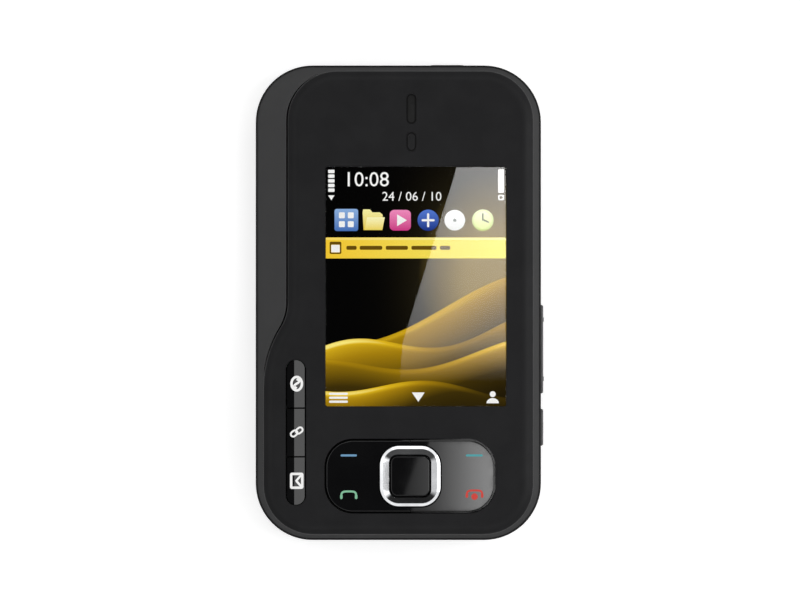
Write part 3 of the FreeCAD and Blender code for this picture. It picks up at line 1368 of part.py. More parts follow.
def make_ring():
    """The navigation ring. A bevel rises to a crest, and from there a shallow dish falls to the hole. Under
    it lies the gimbal that it tilts on, and inside it the centre key."""
    gimbal = Piece("ring_gimbal")
    low = "keypad_mat_top + gimbal_lift"
    gimbal.pad(around("ring_x", "ring_y", "ring_size - 2 * gimbal_in", "ring_size - 2 * gimbal_in",
                      "ring_corner - gimbal_in"), low, f"{low} + gimbal_thickness")
    gimbal.pocket(around("ring_x", "ring_y", "ring_hole_width + 2 * gimbal_hole_gap",
                         "ring_hole_length + 2 * gimbal_hole_gap", "ring_hole_corner"),
                  low, f"{low} + gimbal_thickness")
    ring = Piece("nav_ring")
    crest = "(front_top + ring_proud)"
    ring.pad(around("ring_x", "ring_y", "ring_size", "ring_size", "ring_corner"),
             "front_key_low", f"{crest} - ring_bevel_rise")
    ring.pad(around("ring_x", "ring_y", "ring_size", "ring_size", "ring_corner"),
             f"{crest} - ring_bevel_rise", crest, taper="-atan(ring_crest_in / ring_bevel_rise)")
    dish = Piece("ring_dish")
    dish.pad(around("ring_x", "ring_y", "ring_hole_width", "ring_hole_length", "ring_hole_corner"),
             f"{crest} - ring_dish_depth", f"{crest} + ring_dish_depth",
             taper="atan((ring_size / 2 - ring_crest_in - ring_hole_width / 2) / ring_dish_depth)")
    ring.cut(dish)
    ring.pocket(around("ring_x", "ring_y", "ring_hole_width", "ring_hole_length", "ring_hole_corner"),
                "front_key_low", crest)
    centre = Piece("center_key")
    centre.pad(around("ring_x", "ring_y", "ring_hole_width - 2 * center_gap", "ring_hole_length - 2 * center_gap",
                      "ring_hole_corner - center_gap"), "front_key_low", "front_top")
    centre.fillet("key_edge_round", level("front_top"))


def make_side_keys():
    """Three keys in the slot beside the display. Each top is level up to a fold, and falls off from there."""
    top = "(front_top - side_key_low)"
    x0, x1 = "side_x0 + side_key_gap", "side_x1 - side_key_gap"
    reach = "(side_slot_length / 3 - side_key_gap) / 2"
    for name, number, corners in SIDE_KEYS:
        key = Piece(name)
        low, high = f"{side_key_y(number)} - {reach}", f"{side_key_y(number)} + {reach}"
        key.pad(box(x0, x1, low, high, "side_slot_width / 2 - side_key_gap - end_flat", corners),
                "front_key_low", top)
        wedge = polygon((x1, f"{top} - side_key_drop"), ("side_x0 + side_key_fold", top), (x1, f"{top} + overcut"))
        key.pocket(wedge, f"{low} - overcut", f"{high} + overcut", "XZ")
        key.pad(box(f"{x0} - pad_flange", f"{x1} + pad_flange", f"{low} + side_flange_in",
                    f"{high} - side_flange_in", "side_flange_round"), "front_key_low", "front_key_top")


def make_display():
    x0, x1 = "display_x0 - panel_margin", "display_x1 + panel_margin"
    y0, y1 = "display_y0 - panel_foot", "display_y1 + panel_margin"
    grow = "fit_gap + tray_thickness"
    tray = Piece("panel_tray")
    tray.pad(box(f"{x0} - ({grow})", f"{x1} + {grow}", f"{y0} - ({grow})", f"{y1} + {grow}", "tray_corner"),
             "tray_low", "panel_top")
    tray.pocket(box(f"{x0} - fit_gap", f"{x1} + fit_gap", f"{y0} - fit_gap", f"{y1} + fit_gap"),
                "panel_low", "panel_top")
    # the panel's lower plate reaches further down than its upper one, by the row of connections
    panel = Piece("display_panel")
    split = "panel_low + panel_thickness * 0.6"
    panel.pad(box(x0, x1, y0, y1), "panel_low", split)
    panel.pad(box(x0, x1, f"{y0} + panel_foot - panel_margin", y1), split, "panel_top")
    window = Piece("display_window")
    window.pad(box("display_x0 - window_rest", "display_x1 + window_rest", "display_y0 - window_rest",
                   "display_y1 + window_rest", "window_rest_corner"), "window_low", "window_low + window_flange")
    window.pad(box("display_x0 + window_gap", "display_x1 - window_gap", "display_y0 + window_gap",
                   "display_y1 - window_gap", "display_corner - window_gap"),
               "window_low", "front_top - window_sink")
    window.fillet("window_edge_round", level("front_top - window_sink"))


def make_sounders():
    """The earpiece and its mesh, the light sensor's lens, and the microphone."""
    piece = Piece("earpiece")
    y, top = "(earpiece_y + earpiece_shift)", "(front_under - earpiece_clear)"
    piece.pad(around("earpiece_x", y, "earpiece_width", "earpiece_length", "earpiece_corner"),
              "front_board_top", top)
    piece.pocket(around("earpiece_x", y, "earpiece_width - 2 * earpiece_rim", "earpiece_length - 2 * earpiece_rim",
                        "earpiece_corner - earpiece_rim / 2"), f"{top} - earpiece_recess", top)
    under = "(front_under - fit_gap)"
    mesh = Piece("earpiece_mesh")
    mesh.pad(slot_plug("earpiece_y", "earpiece_slot_length", "(0 - mesh_margin)"),
             f"{under} - mesh_thickness", under)
    mesh.pad(slot_plug("earpiece_y", "earpiece_slot_length", "fit_gap"), "plug_low", "front_top - mesh_sink")
    lens = Piece("sensor_lens")
    lens.pad(slot_plug("sensor_y", "sensor_length", "(0 - sensor_margin)"), f"{under} - sensor_thickness", under)
    lens.pad(slot_plug("sensor_y", "sensor_length", "fit_gap"), "plug_low", "front_top - fit_gap")
    lens.pad(around("earpiece_x", "sensor_y", "sensor_chip", "sensor_chip", "sensor_chip_corner"),
             "front_board_top", f"{under} - sensor_thickness")
    microphone = Piece("microphone")
    spot = ("pad_x1 + microphone_side", "pad_y0 + microphone_up")
    top = "(front_board_top + microphone_height)"
    microphone.pad(circles("microphone_radius", spot), "front_board_top", top)
    microphone.pocket(circles("microphone_hole_radius", spot), f"{top} - microphone_hole_depth", top)


# ---------------------------------------------------------------- the whole phone
def make_phone():
    make_battery_cover()
    make_rear_shell()
    make_deck()
    make_battery()
    make_contacts()
    make_board()
    make_chips()
    make_cans()
    make_keyboard()
    make_camera()
    make_speaker()
    make_motor()
    make_card_holder()
    make_antenna()
    make_sockets()
    make_edge_keys()
    head_top = "cover_space + screw_head_height"
    make_screws("shell_screws", "screw_radius", "screw_head_radius", "cover_space + fit_gap", head_top,
                "cover_space + screw_neck", "deck_top - boss_roof - tip_gap", SCREWS)
    make_base_plate()
    make_screws("plate_screws", "small_screw_radius", "small_head_radius", "deck_plate_top",
                "deck_plate_top + small_head_height", "deck_under + fit_gap", "deck_plate_top", PLATE_SCREWS)
    make_slider_plate()
    make_liners()
    make_detents()
    make_ribbon()
    make_slider_back()
    make_screws("frame_screws", "small_screw_radius", "small_head_radius", "plate_top",
                "plate_top + small_head_height", "slider_low + frame_floor + tip_gap", "plate_top", FRAME_SCREWS)
    make_slider_front()
    make_screws("slider_screws", "small_screw_radius", "small_head_radius", "slider_low + tip_gap",
                "slider_low + tip_gap + small_head_height", "slider_low + screw_neck",
                "front_under - post_roof - tip_gap", POSTS)
    make_front_board()
    make_front_domes()
    make_keypad_mat()
    make_panel_keys()
    make_ring()
    make_side_keys()
    make_display()
    make_sounders()


def faults():
    """What is wrong with the document: features in error, and bodies without a sound solid."""
    found = [f"{made.Label}: {made.State}" for made in document.Objects
             if "Invalid" in made.State or "Error" in made.State]
    for name, body in pieces.items():
        shape = body.Shape
        if shape.isNull() or not shape.isValid() or not shape.Solids:
            found.append(f"{name}: not a sound solid")
    return found


make_phone()
document.recompute()
problems = faults()
os.makedirs("parts", exist_ok=True)
for name, body in pieces.items():
    body.Shape.exportStep(f"parts/{name}.step")
    print(f"{name}: {len(body.Shape.Solids)} solids, {body.Shape.Volume:.1f} cubic mm")
if problems:
    raise SystemExit("\n".join(problems))
print(len(pieces), "pieces")
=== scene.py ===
import json
import math

import bpy
import numpy as np
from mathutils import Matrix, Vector

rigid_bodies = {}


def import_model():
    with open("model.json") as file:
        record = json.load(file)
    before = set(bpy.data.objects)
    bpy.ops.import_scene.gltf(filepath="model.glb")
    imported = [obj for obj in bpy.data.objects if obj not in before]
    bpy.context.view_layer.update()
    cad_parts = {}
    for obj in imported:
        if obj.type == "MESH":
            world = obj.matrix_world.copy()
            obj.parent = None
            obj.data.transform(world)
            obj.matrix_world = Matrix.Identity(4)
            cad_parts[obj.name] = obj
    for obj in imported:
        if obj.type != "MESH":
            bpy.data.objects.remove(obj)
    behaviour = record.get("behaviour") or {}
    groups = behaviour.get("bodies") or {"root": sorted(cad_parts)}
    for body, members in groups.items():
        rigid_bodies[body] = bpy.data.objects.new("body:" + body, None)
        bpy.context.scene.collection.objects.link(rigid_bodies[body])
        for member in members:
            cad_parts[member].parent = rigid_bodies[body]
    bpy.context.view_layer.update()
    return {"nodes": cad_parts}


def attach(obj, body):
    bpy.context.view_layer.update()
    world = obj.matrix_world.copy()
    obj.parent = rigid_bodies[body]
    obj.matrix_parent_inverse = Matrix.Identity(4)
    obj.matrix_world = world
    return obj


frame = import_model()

nodes = frame["nodes"]
mm = 0.001


# shapes: each is a set of arrays in millimetres, which become metres when the mesh is made

def gridFaces(rows, columns, wrapRows=False, wrapColumns=False):
    # quads between the neighbours of a rows x columns grid; a wrapped direction joins its ends
    r = np.arange(rows if wrapRows else rows - 1)[:, None]
    c = np.arange(columns if wrapColumns else columns - 1)[None, :]
    nextR, nextC = (r + 1) % rows, (c + 1) % columns
    corners = [r * columns + c, nextR * columns + c, nextR * columns + nextC, r * columns + nextC]
    return np.stack(corners, axis=-1).reshape(-1, 4).tolist()


def placeObject(name, data):
    item = bpy.data.objects.new(name, data)
    bpy.context.scene.collection.objects.link(item)
    return item


def setGlow(mesh, glow):
    # one brightness for each point, which the lit finishes read
    brightness = mesh.attributes.new("glow", "FLOAT", "POINT")
    brightness.data.foreach_set("value", np.asarray(glow, dtype=np.float32).ravel())


def makePiece(name, points, faces, material, body, slot, smooth=False, glow=None):
    mesh = bpy.data.meshes.new(name)
    mesh.from_pydata((np.asarray(points).reshape(-1, 3) * mm).tolist(), [], faces)
    if glow is not None:
        setGlow(mesh, glow)
    mesh.materials.append(material)
    mesh.update()
    piece = placeObject(name, mesh)
    mesh.polygons.foreach_set("use_smooth", np.full(len(mesh.polygons), smooth))
    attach(piece, body)


def roundedBox(x0, x1, y0, y1, radius, perCorner=8):
    # anticlockwise outline: four quarter circles about the inset corners, joined by straight sides
    angle = np.linspace(0, math.pi / 2, perCorner)
    start = np.array([0, 1, 2, 3])[:, None] * math.pi / 2
    centreX = np.array([x1 - radius, x0 + radius, x0 + radius, x1 - radius])[:, None]
    centreY = np.array([y1 - radius, y1 - radius, y0 + radius, y0 + radius])[:, None]
    x = centreX + radius * np.cos(start + angle)
    y = centreY + radius * np.sin(start + angle)
    return np.stack([x.ravel(), y.ravel()], axis=-1)


def disc(x, y, radius, count=40):
    # a circle about (x, y), as points at even angles
    turn = np.linspace(0, 2 * math.pi, count, endpoint=False)
    return np.stack([x + radius * np.cos(turn), y + radius * np.sin(turn)], axis=-1)


def alongArc(x, y, radiusX, radiusY, start, end, count=24):
    # points of an ellipse's arc between two angles in degrees
    turn = np.radians(np.linspace(start, end, count))
    return np.stack([x + radiusX * np.cos(turn), y + radiusY * np.sin(turn)], axis=-1)


def strokeOutline(path, width, endPoints=7):
    # a line of even width: the path moved half of it to each side, with half circles at its ends
    path = np.asarray(path, dtype=float)
    direction = np.gradient(path, axis=0)
    direction /= np.linalg.norm(direction, axis=1)[:, None]
    side = np.stack([-direction[:, 1], direction[:, 0]], axis=-1) * width / 2
    turn = np.linspace(0, math.pi, endPoints)[1:-1, None]
    endCap = path[-1] - side[-1] * np.cos(turn) + direction[-1] * np.sin(turn) * width / 2
    startCap = path[0] + side[0] * np.cos(turn) - direction[0] * np.sin(turn) * width / 2
    return np.concatenate([path - side, endCap, (path + side)[::-1], startCap])


def evenSteps(path, count, closed=False):
    # the same path, as points at equal distances along it
    path = np.asarray(path, dtype=float)
    if closed:
        path = np.concatenate([path, path[:1]])
    run = np.concatenate([[0], np.cumsum(np.linalg.norm(np.diff(path, axis=0), axis=1))])
    places = np.linspace(0, run[-1], count, endpoint=not closed)
    return np.stack([np.interp(places, run, path[:, axis]) for axis in (0, 1)], axis=-1)


def ribbonArrays(path, width, low, high, closed=False):
    # carries a flat rectangle along a path: half the width to each side of it, between two heights
    if closed:
        along = np.roll(path, -1, axis=0) - np.roll(path, 1, axis=0)
    else:
        along = np.gradient(path, axis=0)
    along /= np.linalg.norm(along, axis=1)[:, None]
    left = np.stack([-along[:, 1], along[:, 0]], axis=-1) * width / 2
    count = len(path)
    corners = [np.column_stack([path + side * left, np.full(count, level)])
               for side, level in ((-1, low), (-1, high), (1, high), (1, low))]
    faces = gridFaces(count, 4, closed, True)
    if not closed:
        last = 4 * count - 1
        faces += [[0, 1, 2, 3], [last, last - 1, last - 2, last - 3]]
    return np.stack(corners, axis=1).reshape(-1, 3), faces


def slabArrays(outline, low, high):
    # a flat closed plate: the outline at two heights, walled between and capped with one face each
    count = len(outline)
    points = np.concatenate([np.column_stack([outline, np.full(count, level)])
                             for level in (low, high)])
    steps = np.arange(count)
    following = (steps + 1) % count
    walls = np.column_stack([steps, following, following + count, steps + count])
    return points, walls.tolist() + [steps[::-1].tolist(), (count + steps).tolist()]


def frameArrays(outer, inner, low, high):
    # a flat closed ring: two outlines of equal count at two heights, joined all round
    count = len(outer)
    loops = [(outer, low), (outer, high), (inner, high), (inner, low)]
    points = np.concatenate([np.column_stack([loop, np.full(count, level)])
                             for loop, level in loops])
    return points, np.asarray(gridFaces(4, count, True, True))[:, ::-1].tolist()


def gather(parts):
    # joins several (points, faces) sets into one, whose face numbers follow on
    points, faces, offset = [], [], 0
    for partPoints, partFaces in parts:
        points.append(partPoints)
        faces += [[corner + offset for corner in face] for face in partFaces]
        offset += len(partPoints)
    return np.concatenate(points), faces


def glyphArrays(glyphs, size, x, y, low, thickness, turned=False):
    # flat glyphs of the built-in font as arrays, centred on (x, y); turned ones read towards -Y
    curve = bpy.data.curves.new("glyphs", "FONT")
    curve.body, curve.size, curve.align_x, curve.align_y = glyphs, size, "CENTER", "CENTER"
    curve.extrude = thickness / 2
    curve.resolution_u = 3
    holder = bpy.data.objects.new("glyphs", curve)
    mesh = bpy.data.meshes.new_from_object(holder)
    points = np.empty(len(mesh.vertices) * 3)
    mesh.vertices.foreach_get("co", points)
    points = points.reshape(-1, 3)
    if turned:
        points = np.stack([points[:, 1], -points[:, 0], points[:, 2]], axis=-1)
    points += (x, y, low + thickness / 2)
    faces = [list(polygon.vertices) for polygon in mesh.polygons]
    bpy.data.batch_remove([holder, curve, mesh])
    return points, faces


# finishes: all patterns lie on object coordinates, in cells per metre

noiseBand = {"tones": (0.35, 0.65), "gloss": (0.3, 0.7)}  # the part of a noise's range in use
mouldedBase = {"cloud": 160, "smear": 420, "spread": 0.06, "grain": 5200, "depth": 0.12,
               "height": 0.00003, "sheen": 0.5, "coat": 0.0, "coatRoughness": 0.05}
metalBase = {"cloud": 240, "brush": 900, "stretch": (1, 14, 1), "depth": 0.05,
             "height": 0.00002, "brightest": 0.75, "dullest": 1.3}
clearBase = {"ior": 1.47, "haze": 0.02, "wipe": 300, "stretch": (1, 3, 1)}
litBase = {"drift": 0.06, "cell": 900, "roughness": 0.6}


def shade(red, green, blue):
    # a colour given as screen values from 0 to 255, in the linear values that shaders take
    part = np.array([red, green, blue]) / 255
    linear = np.where(part <= 0.04045, part / 12.92, ((part + 0.055) / 1.055) ** 2.4)
    return tuple(linear.tolist()) + (1.0,)


def newFinish(name):
    material = bpy.data.materials.new(name)
    material.use_nodes = True
    tree = material.node_tree
    return material, tree, tree.nodes["Principled BSDF"]


def noiseAt(tree, scale, detail, stretch=None):
    place = tree.nodes.new("ShaderNodeTexCoord")
    noise = tree.nodes.new("ShaderNodeTexNoise")
    noise.inputs["Scale"].default_value = scale
    noise.inputs["Detail"].default_value = detail
    if stretch:
        mapping = tree.nodes.new("ShaderNodeMapping")
        mapping.inputs["Scale"].default_value = stretch
        tree.links.new(place.outputs["Object"], mapping.inputs["Vector"])
        tree.links.new(mapping.outputs["Vector"], noise.inputs["Vector"])
    else:
        tree.links.new(place.outputs["Object"], noise.inputs["Vector"])
    return noise.outputs["Fac"]


def rampOf(tree, source, stops):
    # a colour ramp of (position, colour) stops in rising order; a new one already has two
    ramp = tree.nodes.new("ShaderNodeValToRGB")
    elements = ramp.color_ramp.elements
    elements[0].position, elements[0].color = stops[0]
    elements[1].position, elements[1].color = stops[-1]
    for position, color in stops[1:-1]:
        elements.new(position).color = color
    tree.links.new(source, ramp.inputs["Fac"])
    return ramp.outputs["Color"]


def twoTones(tree, source, first, second):
    low, high = noiseBand["tones"]
    return rampOf(tree, source, [(low, first), (high, second)])


def spreadValue(tree, source, low, high):
    spread = tree.nodes.new("ShaderNodeMapRange")
    limits = zip(("From Min", "From Max", "To Min", "To Max"), (*noiseBand["gloss"], low, high))
    for socket, value in limits:
        spread.inputs[socket].default_value = value
    tree.links.new(source, spread.inputs["Value"])
    return spread.outputs["Result"]


def mathNode(tree, operation, *values):
    # each value is a socket or a plain number
    node = tree.nodes.new("ShaderNodeMath")
    node.operation = operation
    for number, value in enumerate(values):
        if isinstance(value, float):
            node.inputs[number].default_value = value
        else:
            tree.links.new(value, node.inputs[number])
    return node.outputs[0]


def bumpFrom(tree, shader, source, look):
    bump = tree.nodes.new("ShaderNodeBump")
    bump.inputs["Strength"].default_value = look["depth"]
    bump.inputs["Distance"].default_value = look["height"]
    tree.links.new(source, bump.inputs["Height"])
    tree.links.new(bump.outputs["Normal"], shader.inputs["Normal"])


def mouldedFinish(name, look):
    # moulded plastic, lacquer or rubber: two close tones, a fine grain and handled, uneven gloss
    look = {**mouldedBase, **look}
    material, tree, shader = newFinish(name)
    cloud = noiseAt(tree, look["cloud"], detail=4)
    tones = twoTones(tree, cloud, shade(*look["tone"]), shade(*look["worn"]))
    tree.links.new(tones, shader.inputs["Base Color"])
    smear = noiseAt(tree, look["smear"], detail=5)
    rough, spread = look["roughness"], look["spread"]
    gloss = spreadValue(tree, smear, rough - spread, rough + spread)
    tree.links.new(gloss, shader.inputs["Roughness"])
    bumpFrom(tree, shader, noiseAt(tree, look["grain"], detail=2), look)
    shader.inputs["Specular IOR Level"].default_value = look["sheen"]
    shader.inputs["Coat Weight"].default_value = look["coat"]
    shader.inputs["Coat Roughness"].default_value = look["coatRoughness"]
    return material


def metalFinish(name, look):
    # bare or plated metal: brushed along one direction, with faint dull patches
    look = {**metalBase, **look}
    material, tree, shader = newFinish(name)
    shader.inputs["Metallic"].default_value = 1.0
    cloud = noiseAt(tree, look["cloud"], detail=4)
    tones = twoTones(tree, cloud, shade(*look["tone"]), shade(*look["worn"]))
    tree.links.new(tones, shader.inputs["Base Color"])
    brush = noiseAt(tree, look["brush"], detail=3, stretch=look["stretch"])
    rough = look["roughness"]
    gloss = spreadValue(tree, brush, rough * look["brightest"], rough * look["dullest"])
    tree.links.new(gloss, shader.inputs["Roughness"])
    bumpFrom(tree, shader, brush, look)
    return material


def clearFinish(name, look):
    # clear plastic or glass, with faint wipe marks in its gloss
    look = {**clearBase, **look}
    material, tree, shader = newFinish(name)
    shader.inputs["Base Color"].default_value = shade(*look["tone"])
    shader.inputs["Transmission Weight"].default_value = 1.0
    shader.inputs["IOR"].default_value = look["ior"]
    wipe = noiseAt(tree, look["wipe"], detail=5, stretch=look["stretch"])
    tree.links.new(spreadValue(tree, wipe, 0.0, look["haze"]), shader.inputs["Roughness"])
    return material


def onlyLit(shader):
    # black and without gloss, so that nothing but its own light shows
    shader.inputs["Base Color"].default_value = (0, 0, 0, 1)
    shader.inputs["Specular IOR Level"].default_value = 0.0


def litFinish(name, color, strength=1.0):
    # a lit patch: one colour that drifts a little
    material, tree, shader = newFinish(name)
    onlyLit(shader)
    dimmer = tuple(part * (1 - litBase["drift"]) for part in shade(*color)[:3]) + (1.0,)
    tone = twoTones(tree, noiseAt(tree, litBase["cell"], detail=2), dimmer, shade(*color))
    shader.inputs["Roughness"].default_value = litBase["roughness"]
    tree.links.new(tone, shader.inputs["Emission Color"])
    shader.inputs["Emission Strength"].default_value = strength
    return material


def glowOf(tree):
    # the piece's own glow attribute
    glow = tree.nodes.new("ShaderNodeAttribute")
    glow.attribute_name = "glow"
    return glow.outputs["Fac"]


def glowFinish(name, stops):
    # a lit patch whose colour runs with the glow
    material, tree, shader = newFinish(name)
    onlyLit(shader)
    tone = rampOf(tree, glowOf(tree), [(place, shade(*color)) for place, color in stops])
    tree.links.new(tone, shader.inputs["Emission Color"])
    shader.inputs["Emission Strength"].default_value = 1.0
    return material


def dress(material, *names):
    for name in names:
        slots = nodes[name].data.materials
        slots.clear()
        slots.append(material)


print("shells")
frontShell = {"tone": (32, 32, 33), "worn": (35, 35, 36), "roughness": 0.4, "spread": 0.03,
              "sheen": 0.06, "grain": 6500, "depth": 0.1}
dress(mouldedFinish("softGreyShell", frontShell), "slider_front")
backShell = {"tone": (17, 17, 18), "worn": (21, 21, 22), "roughness": 0.5, "spread": 0.04,
             "sheen": 0.25, "grain": 4200, "depth": 0.2}
dress(mouldedFinish("darkGrainedShell", backShell), "rear_shell", "slider_back")
cover = {"tone": (23, 23, 24), "worn": (28, 28, 29), "roughness": 0.6, "sheen": 0.25,
         "grain": 3600, "depth": 0.3, "height": 0.00005}
dress(mouldedFinish("softTouchCover", cover), "battery_cover")
rim = {"tone": (33, 33, 34), "worn": (35, 35, 36), "roughness": 0.36, "spread": 0.03,
       "sheen": 0.3, "grain": 7000, "depth": 0.07}
dress(mouldedFinish("satinGreyRim", rim), "keyboard_deck")

print("keys")
glossKeys = {"tone": (11, 11, 12), "worn": (14, 14, 15), "roughness": 0.025, "spread": 0.01,
             "grain": 900, "depth": 0.002}
dress(mouldedFinish("glossBlackKeys", glossKeys),
      "left_key", "right_key", "center_key", "web_key", "link_key", "mail_key")
edgeKeys = {"tone": (58, 58, 60), "worn": (66, 66, 67), "roughness": 0.35, "spread": 0.05,
            "depth": 0.06}
dress(mouldedFinish("edgeKeyLacquer", edgeKeys), "volume_rocker", "camera_key", "power_key")
caps = {"tone": (20, 20, 21), "worn": (25, 25, 26), "roughness": 0.28, "spread": 0.05,
        "coat": 0.3, "depth": 0.05}
dress(mouldedFinish("keyboardCaps", caps),
      "key_row_top", "key_row_home", "key_row_lower", "key_row_bottom", "space_bar")
chrome = {"tone": (225, 226, 228), "worn": (205, 206, 208), "roughness": 0.07, "depth": 0.02,
          "brush": 500}
dress(metalFinish("ringChrome", chrome), "nav_ring", "camera_ring")

print("inner parts")
steel = {"tone": (86, 87, 90), "worn": (70, 71, 74), "roughness": 0.34, "depth": 0.12}
dress(metalFinish("darkPlatedSteel", steel), "base_plate", "slider_plate", "ring_gimbal")
brightSteel = {"tone": (190, 190, 186), "worn": (165, 165, 160), "roughness": 0.3,
               "stretch": (12, 1, 1)}
dress(metalFinish("tinnedSheet", brightSteel), "shield_cans", "card_holder", "panel_tray",
      "charging_socket", "vibration_motor", "microphone", "detent_springs")
screws = {"tone": (110, 110, 112), "worn": (80, 80, 82), "roughness": 0.38, "stretch": (4, 4, 4)}
dress(metalFinish("blackenedScrews", screws),
      "shell_screws", "plate_screws", "frame_screws", "slider_screws")
boards = {"tone": (14, 62, 34), "worn": (22, 80, 44), "roughness": 0.3, "cloud": 900,
          "grain": 2400, "depth": 0.2}
dress(mouldedFinish("solderMask", boards), "main_board", "front_board")
blackParts = {"tone": (18, 18, 18), "worn": (26, 26, 26), "roughness": 0.5, "depth": 0.2}
dress(mouldedFinish("blackMouldings", blackParts), "battery_contacts", "main_chips",
      "camera_module", "loudspeaker", "headset_jack", "edge_switches", "earpiece",
      "display_panel")
rubber = {"tone": (48, 48, 50), "worn": (40, 40, 42), "roughness": 0.75, "grain": 3000,
          "depth": 0.25}
dress(mouldedFinish("keyMatRubber", rubber), "keyboard_mat", "keypad_mat")
film = {"tone": (186, 180, 150), "worn": (200, 196, 172), "roughness": 0.3, "cloud": 700}
dress(mouldedFinish("domeFilm", film), "keyboard_domes", "front_domes")
liner = {"tone": (226, 226, 220), "worn": (212, 212, 204), "roughness": 0.5}
dress(mouldedFinish("slipPlastic", liner), "rail_liners", "antenna")
ribbon = {"tone": (150, 92, 30), "worn": (170, 108, 42), "roughness": 0.4, "cloud": 600}
dress(mouldedFinish("ribbonFilm", ribbon), "ribbon_cable")
cell = {"tone": (92, 98, 108), "worn": (84, 90, 100), "roughness": 0.4}
dress(mouldedFinish("cellWrap", cell), "battery")
earMesh = {"tone": (24, 24, 24), "worn": (33, 33, 33), "roughness": 0.7, "sheen": 0.1,
           "grain": 2600, "depth": 0.6, "height": 0.0001}
dress(mouldedFinish("darkMesh", earMesh), "earpiece_mesh")
lens = {"tone": (28, 28, 29), "worn": (31, 31, 32), "roughness": 0.3, "sheen": 0.2,
        "spread": 0.02, "depth": 0.02}
dress(mouldedFinish("smokedLens", lens), "sensor_lens")
dress(clearFinish("windowGlass", {"tone": (255, 255, 255)}), "display_window")
dress(clearFinish("cameraGlass", {"tone": (120, 120, 135), "ior": 1.5}), "camera_window")


print("picture")
# the lit picture: flat pieces in thin layers between the display's panel and its window, drawn
# from its own lower left corner, u to the right and v up
picture = {"left": -14.85, "bottom": -21.1, "width": 36.8, "height": 48.8,
           "low": 13.806, "layer": 0.008, "solid": 0.5}
levels = {"plate": 1.2, "inset": 1.8, "ink": 2.2}


def layer(number):
    # the lower and the upper height of a piece in that layer
    low = picture["low"] + number * picture["layer"]
    return low, low + picture["layer"] * picture["solid"]


def onPicture(points):
    # from the picture's corner to the phone's frame
    return points + (picture["left"], picture["bottom"], 0)


def litPiece(name, points, faces, stops, glow, finish):
    makePiece(name, onPicture(points), faces, glowFinish(finish, stops), "slider",
              "panel_black", glow=glow)


sky = {"sunU": 34.0, "sunV": 26.0, "radius": 14.0, "flatter": 0.7, "core": 0.3, "fall": 1.9,
       "bright": 0.8, "columns": 60, "rows": 80,
       "stops": [(0.0, (0, 0, 0)), (0.25, (26, 22, 10)), (0.62, (112, 94, 44)),
                 (1.0, (170, 144, 78))]}


def pictureSky():
    # a flat grid over the whole picture. With d the distance from a low sun in units of its
    # radius, the glow is bright * e to the power of -fall * (d - core) squared
    u, v = np.meshgrid(np.linspace(0, picture["width"], sky["columns"]),
                       np.linspace(0, picture["height"], sky["rows"]), indexing="ij")
    away = np.hypot(u - sky["sunU"], (v - sky["sunV"]) * sky["flatter"]) / sky["radius"]
    glow = sky["bright"] * np.exp(-((away - sky["core"]).clip(0) ** 2) * sky["fall"])
    points = np.stack([u, v, np.full_like(u, layer(0)[0])], axis=-1)
    litPiece("pictureSky", points, gridFaces(*u.shape), sky["stops"], glow, "skyGlow")


pictureSky()

# ridges of rolling dunes, the farthest first; the light runs down from each crest
dunes = [
    {"rise": 12.9, "slope": 0.3, "swell": 2.4, "run": 8.5, "phase": 3.4, "depth": 22, "dim": 0.72},
    {"rise": 10.6, "slope": 0.16, "swell": 2.3, "run": 6.4, "phase": 0.9, "depth": 17, "dim": 0.98},
    {"rise": 8.0, "slope": 0.1, "swell": 2.2, "run": 7.5, "phase": 2.2, "depth": 14, "dim": 1.0},
    {"rise": 4.6, "slope": -0.04, "swell": 1.5, "run": 6.0, "phase": 4.4, "depth": 11, "dim": 0.9}]
duneLight = {
    "columns": 90, "rows": 24, "firstLayer": 0.16, "nextLayer": 0.14,
    "even": 0.6, "wave": 0.4, "waveRun": 0.7, "wavePhase": 1.7, "low": 0.3, "gain": 0.55,
    "fade": 2.2, "streak": 0.3, "streakDown": 0.5, "streakWidth": 0.45,
    "shadow": 0.6, "shadowFrom": 16, "shadowRun": 20, "shadowBelow": 15, "shadowDrop": 12,
    "stops": [(0.0, (5, 4, 1)), (0.2, (60, 46, 5)), (0.5, (168, 130, 12)), (0.8, (226, 184, 30)),
              (1.0, (255, 238, 128))]}


def duneRidge(number, dune, light):
    # a sheet hung from a crest: height = rise + slope * u + swell * sin(u / run + phase). The glow
    # falls off as e to a power of the depth below the crest, in slow waves along u, with a bright
    # streak under the crest and a shadow that grows to the right and downwards
    u = np.linspace(0, picture["width"], light["columns"])[:, None]
    share = np.linspace(0, 1, light["rows"])[None, :]
    swell = dune["swell"] * np.sin(u / dune["run"] + dune["phase"])
    crest = dune["rise"] + dune["slope"] * u + swell
    v = (crest * (1 - share)).clip(0, picture["height"])
    under = crest - v
    wave = np.sin(u / dune["run"] * light["waveRun"] + dune["phase"] * light["wavePhase"])
    lit = light["even"] + light["wave"] * wave
    streak = np.exp(-((under - light["streakDown"]) / light["streakWidth"]) ** 2)
    rightward = ((u - light["shadowFrom"]) / light["shadowRun"]).clip(0, 1)
    downward = ((light["shadowBelow"] - v) / light["shadowDrop"]).clip(0, 1)
    shadow = 1 - light["shadow"] * rightward * downward
    falling = (light["low"] + light["gain"] * lit) * np.exp(-under / dune["depth"] * light["fade"])
    glow = dune["dim"] * shadow * (falling + light["streak"] * streak * lit)
    low, _ = layer(light["firstLayer"] + number * light["nextLayer"])
    points = np.stack([u + 0 * v, v, np.full_like(v, low)], axis=-1)
    faces = [face[::-1] for face in gridFaces(*v.shape)]
    litPiece("duneRidge" + str(number), points, faces, light["stops"], glow,
             "duneGlow" + str(number))


for number, dune in enumerate(dunes):
    duneRidge(number, dune, duneLight)

